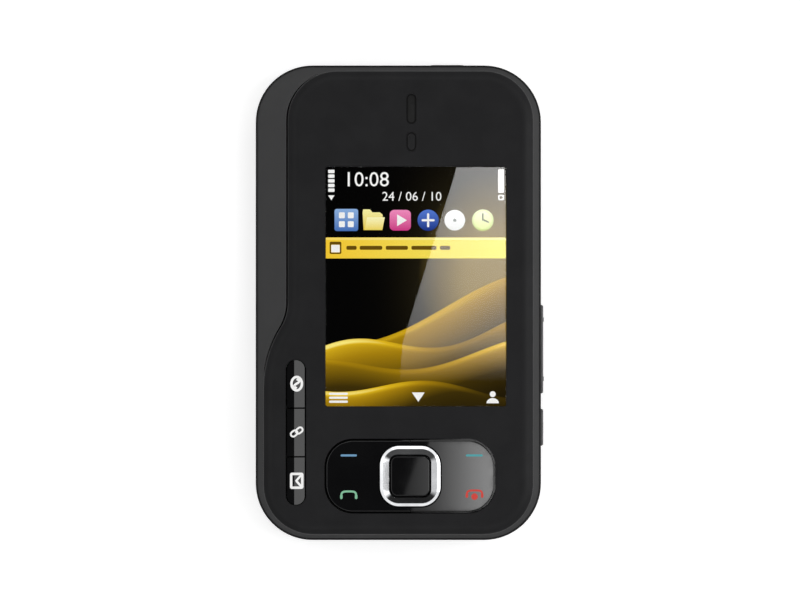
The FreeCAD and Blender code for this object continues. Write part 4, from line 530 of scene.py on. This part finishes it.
whiteLight = litFinish("whiteLight", (250, 250, 248))
darkInk = litFinish("darkInk", (104, 78, 12))
dimInk = litFinish("dimInk", (70, 76, 40))
inkLow, inkHigh = layer(levels["ink"])


def gradedPiece(name, outline, first, last, axis=1, level="plate"):
    # a flat plate whose colour runs from its low end to its high end, along u (0) or v (1)
    points, faces = slabArrays(outline, *layer(levels[level]))
    run = points[:, axis]
    glow = (run - run.min()) / (run.max() - run.min())
    litPiece(name, points, faces, [(0.0, first), (1.0, last)], glow, name + "Light")


def inkPlates(outlines):
    return [slabArrays(outline, inkLow, inkHigh) for outline in outlines]


def inkFrame(outer, inner):
    return frameArrays(roundedBox(*outer), roundedBox(*inner), inkLow, inkHigh)


def inkPiece(name, parts, material):
    points, faces = gather(parts)
    makePiece(name, onPicture(points), faces, material, "slider", "panel_black")


# the notice: a bar with a bright upper edge, a framed tile and a row of dashes. A box is given as
# left, right, low, high and corner radius
notice = {
    "bar": (0.15, 36.65, 30.1, 34.35, 0.2), "barLight": [(246, 202, 52), (250, 240, 104)],
    "shine": (0.15, 36.65, 33.85, 34.3, 0.1), "shineLight": [(250, 220, 104), (252, 248, 164)],
    "dashes": [(4.3, 6.4), (7.0, 11.6), (12.3, 16.8), (17.5, 22.6), (23.3, 25.4)],
    "dashHeights": (31.85, 32.65), "dashCorner": 0.3,
    "frame": (0.9, 3.3, 31.0, 33.5, 0.3), "opening": (1.2, 3.0, 31.3, 32.9, 0.1),
    "tile": (1.25, 2.95, 31.35, 32.85, 0.1)}
gradedPiece("noticeBar", roundedBox(*notice["bar"]), *notice["barLight"], axis=0)
gradedPiece("noticeShine", roundedBox(*notice["shine"]), *notice["shineLight"], axis=0, level="ink")
dashes = inkPlates([roundedBox(*ends, *notice["dashHeights"], notice["dashCorner"])
                    for ends in notice["dashes"]])
inkPiece("noticeDashes", dashes + [inkFrame(notice["frame"], notice["opening"])], darkInk)
inkPiece("noticeTile", inkPlates([roundedBox(*notice["tile"])]), whiteLight)

# six small drawings, their heights given from the row's middle
icons = {
    "row": 37.85, "square": (1.9, 6.7, -2.2, 2.3, 0.5), "note": (13.1, 17.4, -2.1, 2.1, 0.9),
    "folder": [(7.8, -2.0), (11.4, -2.0), (11.7, 1.1), (11.1, 1.6), (9.6, 1.6), (9.1, 2.2),
               (7.7, 2.2), (7.6, 1.5)],
    "flap": [(8.0, -2.0), (11.6, -2.0), (12.1, 0.6), (8.5, 0.6)],
    "plus": (20.9, 0, 2.15), "disc": (26.3, 0, 2.1), "hole": (26.3, 0, 0.34, 20),
    "clock": (32.0, 0, 2.2), "face": (32.0, 0, 1.75),
    "tileU": (2.8, 4.6), "tileV": (-1.4, 0.4), "tileSize": 1.2, "tileCorner": 0.2,
    "play": [(14.6, -1.2), (16.6, 0.0), (14.6, 1.2)], "plusLine": 0.45,
    "plusPaths": [[(19.8, 0), (20.9, 0), (22.0, 0)], [(20.9, 0.4), (20.9, 0.8), (20.9, 1.2)],
                  [(20.9, -1.2), (20.9, -0.8), (20.9, -0.4)]],
    "handLine": 0.28, "handPaths": [[(32.0, 0), (32.0, 0.7), (32.0, 1.3)],
                                    [(32.3, 0), (32.7, -0.2), (33.1, -0.4)]]}


def onRow(outline):
    return np.asarray(outline) + (0, icons["row"])


gradedPiece("squareIcon", onRow(roundedBox(*icons["square"])), (70, 112, 184), (142, 178, 226))
gradedPiece("folderIcon", onRow(icons["folder"]), (228, 196, 66), (252, 246, 168))
gradedPiece("folderFlap", onRow(icons["flap"]), (240, 214, 92), (254, 250, 190), level="inset")
gradedPiece("noteIcon", onRow(roundedBox(*icons["note"])), (206, 58, 132), (244, 142, 192))
gradedPiece("plusIcon", onRow(disc(*icons["plus"])), (22, 48, 132), (84, 122, 212))
gradedPiece("discIcon", onRow(disc(*icons["disc"])), (226, 228, 226), (255, 255, 255))
gradedPiece("clockIcon", onRow(disc(*icons["clock"])), (188, 206, 96), (240, 246, 196))
gradedPiece("clockFace", onRow(disc(*icons["face"])), (224, 234, 150), (248, 252, 214),
            level="inset")
discGrey = litFinish("discGrey", (140, 146, 142))
inkPiece("discHole", inkPlates([onRow(disc(*icons["hole"]))]), discGrey)
tiles = [onRow(roundedBox(u, u + icons["tileSize"], v, v + icons["tileSize"], icons["tileCorner"]))
         for u in icons["tileU"] for v in icons["tileV"]]
plus = [strokeOutline(onRow(path), icons["plusLine"]) for path in icons["plusPaths"]]
inkPiece("iconMarks", inkPlates(tiles + [onRow(icons["play"])] + plus), whiteLight)
hands = [strokeOutline(onRow(path), icons["handLine"]) for path in icons["handPaths"]]
inkPiece("clockHands", inkPlates(hands), dimInk)

# signal bars over a small mast, the battery's level, and the signs over the three soft keys
status = {
    "signal": {"left": 0.6, "right": 1.9, "lows": (43.6, 44.55, 45.5, 46.45, 47.4), "tall": 0.7,
               "corner": 0.15},
    "mast": [(0.6, 42.9), (1.25, 41.9), (1.9, 42.9)], "charge": (35.1, 36.3, 43.4, 48.2, 0.2),
    "socket": (35.1, 36.3, 41.9, 43.0, 0.2), "socketHole": (35.4, 36.0, 42.2, 42.7, 0.1),
    "menu": {"left": 0.8, "right": 4.6, "lows": (0.8, 1.6, 2.4), "tall": 0.45, "corner": 0.2},
    "enter": [(20.2, 2.9), (18.9, 1.0), (17.6, 2.9)], "head": (34.0, 2.55, 0.6),
    "shoulders": (34.0, 0.7, 1.25, 1.05, 0, 180)}


def barStack(bars):
    # level bars of one size, at several heights
    return [roundedBox(bars["left"], bars["right"], v, v + bars["tall"], bars["corner"])
            for v in bars["lows"]]


upperSigns = inkPlates(barStack(status["signal"]) + [status["mast"], roundedBox(*status["charge"])])
upperSigns.append(inkFrame(status["socket"], status["socketHole"]))
person = [disc(*status["head"]), alongArc(*status["shoulders"])]
lowerSigns = inkPlates(barStack(status["menu"]) + [status["enter"]] + person)
inkPiece("statusMarks", upperSigns + lowerSigns, whiteLight)
# digits alone: what they say, their size and their middle
clock = {"time": ("10:08", 4.2, 8.4, 46.0), "date": ("24 / 06 / 10", 2.6, 17.6, 42.6)}
digits = [glyphArrays(*line, inkLow, inkHigh - inkLow) for line in clock.values()]
inkPiece("clockDigits", digits, whiteLight)

# black ink just inside the walls of the display's window, so that no light slips in there
windowEdge = {"left": -14.74, "right": 21.84, "bottom": -20.99, "top": 27.59, "corner": 0.44,
              "wall": 0.06, "low": 14.27, "high": 15.17}


def insetBox(box, inset):
    # the outline of a rounded box, moved inwards
    return roundedBox(box["left"] + inset, box["right"] - inset, box["bottom"] + inset,
                      box["top"] - inset, box["corner"] - inset)


# one black finish for the ink inside the window's walls and for the painted shade round the
# earpiece slot and the sensor's lens
inkAndShadeLook = {"tone": (12, 12, 12), "worn": (16, 16, 16), "roughness": 0.7, "sheen": 0.1}
inkAndShadeBlack = mouldedFinish("inkAndShadeBlack", inkAndShadeLook)
edgeArrays = frameArrays(insetBox(windowEdge, 0), insetBox(windowEdge, windowEdge["wall"]),
                         windowEdge["low"], windowEdge["high"])
makePiece("windowEdgeInk", *edgeArrays, inkAndShadeBlack, "slider", "panel_black")

# painted shade: dark rims laid round the earpiece slot and the sensor's lens below it, just under
# the face, which darken the gap there where its shade falls
slotShade = [{"outer": (1.72, 3.58, 36.3, 42.3, 0.92), "inner": (2.0, 3.3, 36.58, 42.02, 0.64),
              "heights": (15.26, 15.3)},
             {"outer": (1.72, 3.58, 30.75, 34.55, 0.92), "inner": (1.95, 3.35, 31.02, 34.28, 0.69),
              "heights": (15.33, 15.365)}]
paintedSlotShade = [frameArrays(roundedBox(*slot["outer"]), roundedBox(*slot["inner"]), *slot["heights"])
            for slot in slotShade]
makePiece("paintedSlotShade", *gather(paintedSlotShade), inkAndShadeBlack, "slider", "mesh_black")


print("key marks")
# thin raised ink on the front keys, lit a little from inside as backlit keys are
keyInk = {"high": 15.4, "sunk": 0.02, "proud": 0.012, "light": 0.75}


def markPiece(name, outlines, color, body):
    low, high = keyInk["high"] - keyInk["sunk"], keyInk["high"] + keyInk["proud"]
    points, faces = gather([slabArrays(outline, low, high) for outline in outlines])
    makePiece(name, points, faces, litFinish(name + "Ink", color, keyInk["light"]), body,
              "gloss_key")


softMark = {"y": -30.95, "width": 0.42, "leftEnds": (-11.5, -8.6), "rightEnds": (13.9, 16.9)}


def softLine(x0, x1):
    # a short level stroke between two ends
    path = np.stack([np.linspace(x0, x1, 4), np.full(4, softMark["y"])], axis=-1)
    return [strokeOutline(path, softMark["width"])]


markPiece("leftSoftMark", softLine(*softMark["leftEnds"]), (128, 176, 214), "left_key")
markPiece("rightSoftMark", softLine(*softMark["rightEnds"]), (96, 184, 190), "right_key")

receiver = {"line": 0.4, "foot": 0.52, "footPath": (0.32, 0.1, -0.1), "from": 6, "to": 174,
            "points": 30}
callSign = {"x": -10.05, "y": -39.45, "reach": 1.5, "drop": 1.2}
endSign = {"x": 15.45, "y": -39.2, "reach": 1.55, "drop": 1.15}
endDot = (15.45, -39.3, 0.66)


def handset(x, y, reach, drop):
    # a flat-topped arch with two thicker feet: the upper half of a superellipse, whose x and y are
    # the square roots of the cosine and the sine
    turn = np.radians(np.linspace(receiver["from"], receiver["to"], receiver["points"]))
    cosine = np.cos(turn)
    arch = np.stack([x + reach * np.sign(cosine) * np.abs(cosine) ** 0.5,
                     y + drop * np.sin(turn) ** 0.5], axis=-1)
    feet = [strokeOutline([(x + side * reach, y + up) for up in receiver["footPath"]],
                          receiver["foot"]) for side in (-1, 1)]
    return [strokeOutline(arch, receiver["line"])] + feet


markPiece("callMark", handset(**callSign), (150, 214, 176), "left_key")
markPiece("endMark", handset(**endSign) + [disc(*endDot)], (232, 86, 78), "right_key")

sideKey = {"x": -20.6, "fold": -21.1, "slope": 0.149, "high": 15.3, "sunk": 0.02, "proud": 0.014,
           "white": (255, 255, 254), "light": 0.9}


def sideMark(name, ribbons, y, body):
    # a mark printed across the fold of a side key, which follows the sloping half down
    low, high = sideKey["high"] - sideKey["sunk"], sideKey["high"] + sideKey["proud"]
    strips = [ribbonArrays(path + (sideKey["x"], y), width, low, high, closed)
              for path, width, closed in ribbons]
    points, faces = gather(strips)
    points[:, 2] -= (points[:, 0] - sideKey["fold"]).clip(0) * sideKey["slope"]
    makePiece(name, points, faces, litFinish(name + "Ink", sideKey["white"], sideKey["light"]),
              body, "gloss_key")


# the globe is an ellipse; the swirl in it is one turn of a sine, upright
web = {"y": -16.4, "globe": (1.05, 1.36), "globeLine": 0.5, "swirl": (0.5, 0.95),
       "swirlLine": 0.46}
turn = np.linspace(0, 2 * math.pi, 48, endpoint=False)
globe = np.stack([np.cos(turn), np.sin(turn)], axis=-1) * web["globe"]
wave = np.linspace(-1, 1, 26)
swirl = np.stack([np.sin(wave * math.pi), wave], axis=-1) * web["swirl"]
sideMark("webMark", [(globe, web["globeLine"], True), (swirl, web["swirlLine"], False)], web["y"],
         "web_key")

chain = {"y": -26.2, "line": 0.36, "tilt": 38, "apart": (0.52, 0.3),
         "box": (-0.72, 0.72, -0.5, 0.5, 0.499), "points": 44}


def chainLink(side):
    # one link of a chain: a stadium's outline, turned by the tilt and set to one side
    loop = evenSteps(roundedBox(*chain["box"]), chain["points"], True)
    tilt = math.radians(chain["tilt"])
    cosine, sine = math.cos(tilt), math.sin(tilt)
    return loop @ np.array([[cosine, sine], [-sine, cosine]]) + side * np.array(chain["apart"])


sideMark("linkMark", [(chainLink(side), chain["line"], True) for side in (-1, 1)], chain["y"],
         "link_key")
mail = {"y": -36.1, "box": (-1.12, 1.12, -1.4, 1.4, 0.12), "boxLine": 0.5,
        "flap": [(1.0, -1.25), (-0.1, 0.0), (1.0, 1.25)], "flapLine": 0.44}
envelope = evenSteps(roundedBox(*mail["box"], perCorner=4), 80, True)
flap = evenSteps(mail["flap"], 31)
sideMark("mailMark", [(envelope, mail["boxLine"], True), (flap, mail["flapLine"], False)],
         mail["y"], "mail_key")


print("edge signs")
# printed signs on the keys in the right edge and in the top end
edge = {
    "line": 0.2, "sunk": 0.02, "proud": 0.015, "right": 29.65, "top": 48.65, "middle": 5.4,
    "louderY": -5.9, "softerY": -13.1, "cameraY": -25.5, "powerX": 10.0, "signHalf": 0.6,
    "signGap": 0.13, "camera": (-1.05, 1.05, -0.65, 0.6, 0.2), "eye": (0, -0.03, 0.32, 24),
    "openRing": (0, -0.06, 0.56, 0.56, 125, 415), "stem": [(0, 0.1), (0, 0.68)]}
edgeLook = {"tone": (176, 178, 176), "worn": (150, 152, 150), "roughness": 0.5, "depth": 0.05}
edgeInk = mouldedFinish("edgeInk", edgeLook)


def edgeMark(name, paths, place, body, onEnd=False):
    # a line drawing stood upright on a key in the right edge, or in the top end: across becomes y
    # (or -x), up becomes z, and the ink stands out a hair from the key's face
    strips = [ribbonArrays(path, edge["line"], -edge["sunk"], edge["proud"], closed)
              for path, closed in paths]
    points, faces = gather(strips)
    across, up, out = points.T
    if onEnd:
        upright = [place - across, edge["top"] + out, edge["middle"] + up]
    else:
        upright = [edge["right"] + out, place + across, edge["middle"] + up]
    makePiece(name, np.column_stack(upright), faces, edgeInk, body, "edge_key")


half, gap = edge["signHalf"], edge["signGap"]
lying = (evenSteps([(-half, 0), (half, 0)], 12), False)
upper = (evenSteps([(0, gap), (0, half)], 6), False)
lower = (evenSteps([(0, -half), (0, -gap)], 6), False)
edgeMark("louderMark", [lying, upper, lower], edge["louderY"], "volume_rocker")
edgeMark("softerMark", [lying], edge["softerY"], "volume_rocker")
cameraBox = (evenSteps(roundedBox(*edge["camera"], perCorner=4), 40, True), True)
cameraEye = (disc(*edge["eye"]), True)
edgeMark("shutterMark", [cameraBox, cameraEye], edge["cameraY"], "camera_key")
openRing = (alongArc(*edge["openRing"]), False)
stem = (evenSteps(edge["stem"], 6), False)
edgeMark("powerMark", [openRing, stem], edge["powerX"], "power_key", onEnd=True)


print("keyboard legends")
# digits, signs and arrows, read with the phone turned on its side
legend = {"high": 8.8, "first": 36.0, "pitch": 7.2, "size": 3.1, "line": 0.34, "sunk": 0.01,
          "proud": 0.02, "points": 40}
legendLook = {"tone": (196, 198, 196), "worn": (214, 215, 212), "roughness": 0.5, "depth": 0.05}
digitLook = {"tone": (120, 168, 204), "worn": (140, 184, 214), "roughness": 0.5, "depth": 0.05}
legendInk = mouldedFinish("legendInk", legendLook)
digitInk = mouldedFinish("digitInk", digitLook)
rowX = {"key_row_top": -1.894, "key_row_home": -7.581, "key_row_lower": -13.269,
        "key_row_bottom": -18.956, "space_bar": -18.956}


def keyY(column):
    return legend["first"] - legend["pitch"] * column


def signRow(row, signs, start=0, ink=legendInk):
    # one sign on each cap of a row, from the start column on; a space leaves its cap bare
    low, thick = legend["high"] - legend["sunk"], legend["sunk"] + legend["proud"]
    glyphs = [glyphArrays(sign, legend["size"], rowX[row], keyY(start + number), low, thick, True)
              for number, sign in enumerate(signs) if sign != " "]
    makePiece(row + "Signs", *gather(glyphs), ink, row, "keyboard_cap")


def arrowMarks(row, marks):
    # line drawings on the caps: each is a column and a path of (right, up) as the reader sees it
    low, high = legend["high"] - legend["sunk"], legend["high"] + legend["proud"]
    strips = []
    for column, path in marks:
        path = np.asarray(path, dtype=float)
        turned = np.stack([rowX[row] + path[:, 1], keyY(column) - path[:, 0]], axis=-1)
        strips.append(ribbonArrays(evenSteps(turned, legend["points"]), legend["line"], low, high))
    makePiece(row + "Arrows", *gather(strips), legendInk, row, "keyboard_cap")


arrow = {"half": 1.2, "barbBack": 0.35, "barbOut": 0.8}


def pointer(column, right, up):
    # an arrow that points along (right, up): its shaft, then its head
    ahead, across = np.array([right, up]), np.array([-up, right])
    tip, back, barb = arrow["half"] * ahead, arrow["barbBack"] * ahead, arrow["barbOut"] * across
    return [(column, [-tip, tip]), (column, [back + barb, tip, back - barb])]


enterPath = [(1.1, 0.9), (1.1, -0.5), (-1.1, -0.5)]
enterHead = [(-0.4, 0.15), (-1.1, -0.5), (-0.4, -1.15)]
shiftPath = [(-1.3, -0.1), (0, 1.2), (1.3, -0.1), (0.55, -0.1), (0.55, -1.1), (-0.55, -1.1),
             (-0.55, -0.1), (-1.3, -0.1)]
tabBar = [(1.3, -0.9), (1.3, 0.9)]
spaceTray = [(-4, 0.35), (-4, -0.45), (4, -0.45), (4, 0.35)]
signRow("key_row_top", "1234567890", ink=digitInk)
arrowMarks("key_row_top", pointer(10, -1, 0))
signRow("key_row_home", "+-\u00d7\u00f7=()%#&")
arrowMarks("key_row_home", [(10, enterPath), (10, enterHead)])
signRow("key_row_lower", "!?:;*/<>\u00b0", start=1)
arrowMarks("key_row_lower", [(0, shiftPath)] + pointer(10, 0, 1))
signRow("key_row_bottom", "\u00b1,'   .", start=1)
arrowMarks("key_row_bottom", pointer(0, 1, 0) + [(0, tabBar)] + pointer(9, 0, -1)
           + pointer(8, -1, 0) + pointer(10, 1, 0))
arrowMarks("space_bar", [(5, spaceTray)])


print("camera")
lensSpot = {"x": 0.0, "y": 33.0}


def latheArrays(profile, x, y, count=64):
    # turns a closed profile of (radius, height) round an upright axis at (x, y)
    turn = np.linspace(0, 2 * math.pi, count, endpoint=False)[:, None]
    radius, height = np.asarray(profile, dtype=float).T[:, None, :]
    points = np.stack([x + radius * np.cos(turn), y + radius * np.sin(turn),
                       np.broadcast_to(height, (count, len(profile)))], axis=-1)
    return points.reshape(-1, 3), gridFaces(count, len(profile), True, True)


# stepped rings that narrow towards the lens, each a little deeper than the one outside it
barrel = {"rings": 6, "radius": 2.55, "narrower": 0.22, "depth": 1.0, "deeper": 0.025,
          "back": 1.14}
steps = np.arange(barrel["rings"])
ringRadius = barrel["radius"] - steps * barrel["narrower"]
ringDepth = barrel["depth"] + steps * barrel["deeper"]
stair = np.stack([np.repeat(ringRadius, 2)[1:-1], np.repeat(ringDepth, 2)[:-2]], axis=-1)
barrelBack = [(ringRadius[-1], barrel["back"]), (barrel["radius"], barrel["back"])]
barrelProfile = np.concatenate([stair, barrelBack])
barrelLook = {"tone": (14, 14, 15), "worn": (22, 22, 23), "roughness": 0.45, "depth": 0.1}
makePiece("lensBarrel", *latheArrays(barrelProfile[::-1], **lensSpot),
          mouldedFinish("barrelBlack", barrelLook), "base", "black_plastic")

# a glass dome in the bore: its height falls with the square of the distance from the axis
dome = {"inner": 0.02, "radius": 1.22, "crown": 1.3, "sag": 0.28, "back": 1.75, "points": 14}
out = np.linspace(dome["inner"], dome["radius"], dome["points"])
bowl = np.stack([out, dome["crown"] + dome["sag"] * (out / dome["radius"]) ** 2], axis=-1)
domeBack = [(dome["radius"], dome["back"]), (dome["inner"], dome["back"])]
domeProfile = np.concatenate([bowl, domeBack])
coatedLook = {"tone": (22, 14, 40), "worn": (16, 20, 46), "roughness": 0.03, "spread": 0.01,
              "coat": 1.0, "coatRoughness": 0.02, "depth": 0.002, "grain": 900}
makePiece("lensDome", *latheArrays(domeProfile[::-1], **lensSpot),
          mouldedFinish("coatedLens", coatedLook), "base", "tinted_glass", smooth=True)


print("stage")
floorLook = {"tone": (232, 232, 232), "lift": 0.5, "half": 2.5, "drop": 0.2, "roughness": 0.9,
             "sheen": 0.1}


def stageFloor():
    # a wide matt square that looks white to the camera, in gloss and through glass
    material, tree, shader = newFinish("paleFloor")
    shader.inputs["Base Color"].default_value = shade(*floorLook["tone"])
    shader.inputs["Roughness"].default_value = floorLook["roughness"]
    shader.inputs["Specular IOR Level"].default_value = floorLook["sheen"]
    path = tree.nodes.new("ShaderNodeLightPath").outputs
    bounced = mathNode(tree, "MAXIMUM", path["Is Glossy Ray"], path["Is Transmission Ray"])
    seen = mathNode(tree, "MAXIMUM", path["Is Camera Ray"], bounced)
    shader.inputs["Emission Color"].default_value = (1, 1, 1, 1)
    lift = mathNode(tree, "MULTIPLY", seen, floorLook["lift"])
    tree.links.new(lift, shader.inputs["Emission Strength"])
    half, low = floorLook["half"], -floorLook["drop"] * mm
    corners = [(-half, -half, low), (half, -half, low), (half, half, low), (-half, half, low)]
    mesh = bpy.data.meshes.new("floor")
    mesh.from_pydata(corners, [], [(0, 1, 2, 3)])
    mesh.materials.append(material)
    floor = placeObject("floor", mesh)


# how bright the room is, from straight down (-1) to straight up (1)
roomLevels = [(-1.0, 0.9), (-0.05, 0.9), (0.0, 0.14), (0.42, 0.14), (0.54, 1.22), (0.87, 1.22),
              (0.915, 0.16), (0.955, 0.02)]


def stageWorld():
    # white to the camera; as light it is a dim room with a bright band high up all round
    world = bpy.data.worlds.new("studio")
    bpy.context.scene.world = world
    world.use_nodes = True
    tree = world.node_tree
    background = tree.nodes["Background"]
    place = tree.nodes.new("ShaderNodeTexCoord")
    split = tree.nodes.new("ShaderNodeSeparateXYZ")
    tree.links.new(place.outputs["Generated"], split.inputs[0])
    upward = mathNode(tree, "MULTIPLY_ADD", split.outputs["Z"], 0.5, 0.5)  # from -1..1 to 0..1
    stops = [(level / 2 + 0.5, (bright,) * 3 + (1,)) for level, bright in roomLevels]
    room = rampOf(tree, upward, stops)
    mix = tree.nodes.new("ShaderNodeMix")
    mix.data_type = "RGBA"
    path = tree.nodes.new("ShaderNodeLightPath")
    tree.links.new(path.outputs["Is Camera Ray"], mix.inputs["Factor"])
    tree.links.new(room, mix.inputs["A"])
    mix.inputs["B"].default_value = (1, 1, 1, 1)
    tree.links.new(mix.outputs["Result"], background.inputs["Color"])
    background.inputs["Strength"].default_value = 1.0


# soft lamps that aim at the phone's middle, in metres and watts
lamps = {"lampLeft": {"place": (-0.9, 0.05, 0.5), "size": (0.7, 0.9), "power": 0.4},
         "lampRight": {"place": (0.9, 0.05, 0.5), "size": (0.7, 0.9), "power": 4.8},
         "lampTop": {"place": (0.0, 0.75, 0.8), "size": (0.8, 0.4), "power": 0.6},
         "lampBottom": {"place": (0.0, -0.75, 0.8), "size": (0.8, 0.4), "power": 0.3}}
aim = Vector((0, 0, 0.01))


def addLamp(name, look):
    data = bpy.data.lights.new(name, "AREA")
    data.shape, data.energy = "RECTANGLE", look["power"]
    data.size, data.size_y = look["size"]
    lamp = placeObject(name, data)
    lamp.location = look["place"]
    lamp.rotation_euler = (aim - Vector(look["place"])).to_track_quat("-Z", "Y").to_euler()


stageFloor()
stageWorld()
for name, look in lamps.items():
    addLamp(name, look)

# distance in metres; x, y, the focus height and the width of the view in millimetres
camera = {"x": 0.34, "y": 0.56, "distance": 1.0, "focus": 11, "frame": 162.9, "sensor": 36,
          "near": 0.01}
cameraData = bpy.data.cameras.new("camera")
cameraData.sensor_width = camera["sensor"]
cameraData.lens = camera["sensor"] * camera["distance"] / (camera["frame"] * mm)
cameraData.clip_start = camera["near"]
cameraObject = placeObject("camera", cameraData)
cameraObject.location = (camera["x"] * mm, camera["y"] * mm,
                         camera["distance"] + camera["focus"] * mm)

card = {"height": 500, "gloss": 15.4}  # where the cards hang, and the glossy height they are for


def addCard(name, look):
    # a bright card that only shows in gloss: rows of (x, y, brightness), each placed where the
    # camera sees its reflection in a flat glossy top. A point moves away from the camera's axis by
    # the ratio of the ray's whole run to its run from the camera to the gloss
    grid = np.asarray(look["grid"], dtype=float)
    material, tree, shader = newFinish(name)
    onlyLit(shader)
    shader.inputs["Emission Color"].default_value = (1, 1, 1, 1)
    boosted = mathNode(tree, "MULTIPLY", glowOf(tree), look["strength"])
    tree.links.new(boosted, shader.inputs["Emission Strength"])
    corners = grid.reshape(-1, 3)
    centre = np.array([camera["x"], camera["y"]])
    run = camera["distance"] / mm + camera["focus"] - card["gloss"]
    spread = 1 + (card["height"] - card["gloss"]) / run
    places = centre + (corners[:, :2] - centre) * spread
    points = np.column_stack([places, np.full(len(places), card["height"])]) * mm
    mesh = bpy.data.meshes.new(name)
    mesh.from_pydata(points.tolist(), [], gridFaces(*grid.shape[:2]))
    setGlow(mesh, corners[:, 2])
    mesh.materials.append(material)
    piece = placeObject(name, mesh)
    piece.visible_camera = piece.visible_diffuse = False
    piece.visible_shadow = piece.visible_transmission = False


# the window's card leaves a dark wedge at the upper left
windowCard = {"strength": 9.0, "grid": [
    [(12.8, 30.5, 0.8), (26, 30.5, 0.95)], [(0.9, -8, 0.28), (26, -8, 0.42)],
    [(0.3, -16, 0.0), (26, -16, 0.0)]]}
addCard("windowCard", windowCard)

# the keys' card: its slanting left end steps to the left over the centre key. A slant is the x and
# the y of one point, and the run of x over y
keysCard = {
    "strength": 10.0, "top": -27.95, "bottom": -42.35, "right": 19.4, "corner": 5.4,
    "keyTop": -30.71, "keyBottom": -39.51, "step": 0.01, "keySlant": (4.0, -31.1, 0.343),
    "panelSlant": (6.26, -28.04, 0.25), "rows": (9, 14, 9), "columns": 14,
    "across": [0, 4, 8, 12, 16, 19.4], "bright": [0.05, 0.085, 0.15, 0.31, 0.5, 0.64]}


def keysGlare(look):
    # rows down the key panel, from the slanting left end to the panel's rounded right end. The
    # light grows with x, as read from the short table of across and bright
    above, within, below = look["rows"]
    keyTop, keyBottom, step = look["keyTop"], look["keyBottom"], look["step"]
    y = np.concatenate([np.linspace(look["top"], keyTop + step, above),
                        np.linspace(keyTop - step, keyBottom + step, within),
                        np.linspace(keyBottom - step, look["bottom"], below)])
    middle, half = (look["top"] + look["bottom"]) / 2, (look["top"] - look["bottom"]) / 2
    beyond = (np.abs(y - middle) - (half - look["corner"])).clip(0)
    bend = np.sqrt((look["corner"] ** 2 - beyond ** 2).clip(0))
    right = look["right"] - look["corner"] + bend
    keyEnd, panelEnd = [x0 + (y - y0) * slope
                        for x0, y0, slope in (look["keySlant"], look["panelSlant"])]
    left = np.where((y < keyTop) & (y > keyBottom), keyEnd, panelEnd)
    share = np.linspace(0, 1, look["columns"])[None, :]
    x = left[:, None] * (1 - share) + right[:, None] * share
    glow = np.interp(x, look["across"], look["bright"])
    return np.stack([x, np.broadcast_to(y[:, None], x.shape), glow], axis=-1)


keysCard["grid"] = keysGlare(keysCard)
addCard("keysCard", keysCard)

# the side keys' sloping halves and the ring's left side tilt towards +X and show a card that hangs
# out there; a weaker one shows in the ring's right side
sideCard = {"strength": 2.4, "grid": [
    [(58, 34, 0.0), (108, 34, 0.0)], [(58, -6, 0.85), (108, -6, 1.0)],
    [(58, -50, 0.85), (108, -50, 1.0)], [(58, -90, 0.0), (108, -90, 0.0)]]}
addCard("sideCard", sideCard)
ringCard = {"strength": 0.9, "grid": [
    [(-112, 20, 0.0), (-72, 20, 0.0)], [(-112, -20, 0.9), (-72, -20, 1.0)],
    [(-112, -50, 0.9), (-72, -50, 1.0)], [(-112, -90, 0.0), (-72, -90, 0.0)]]}
addCard("ringCard", ringCard)
bpy.context.scene.camera = cameraObject
bpy.context.scene.view_settings.view_transform = "Standard"
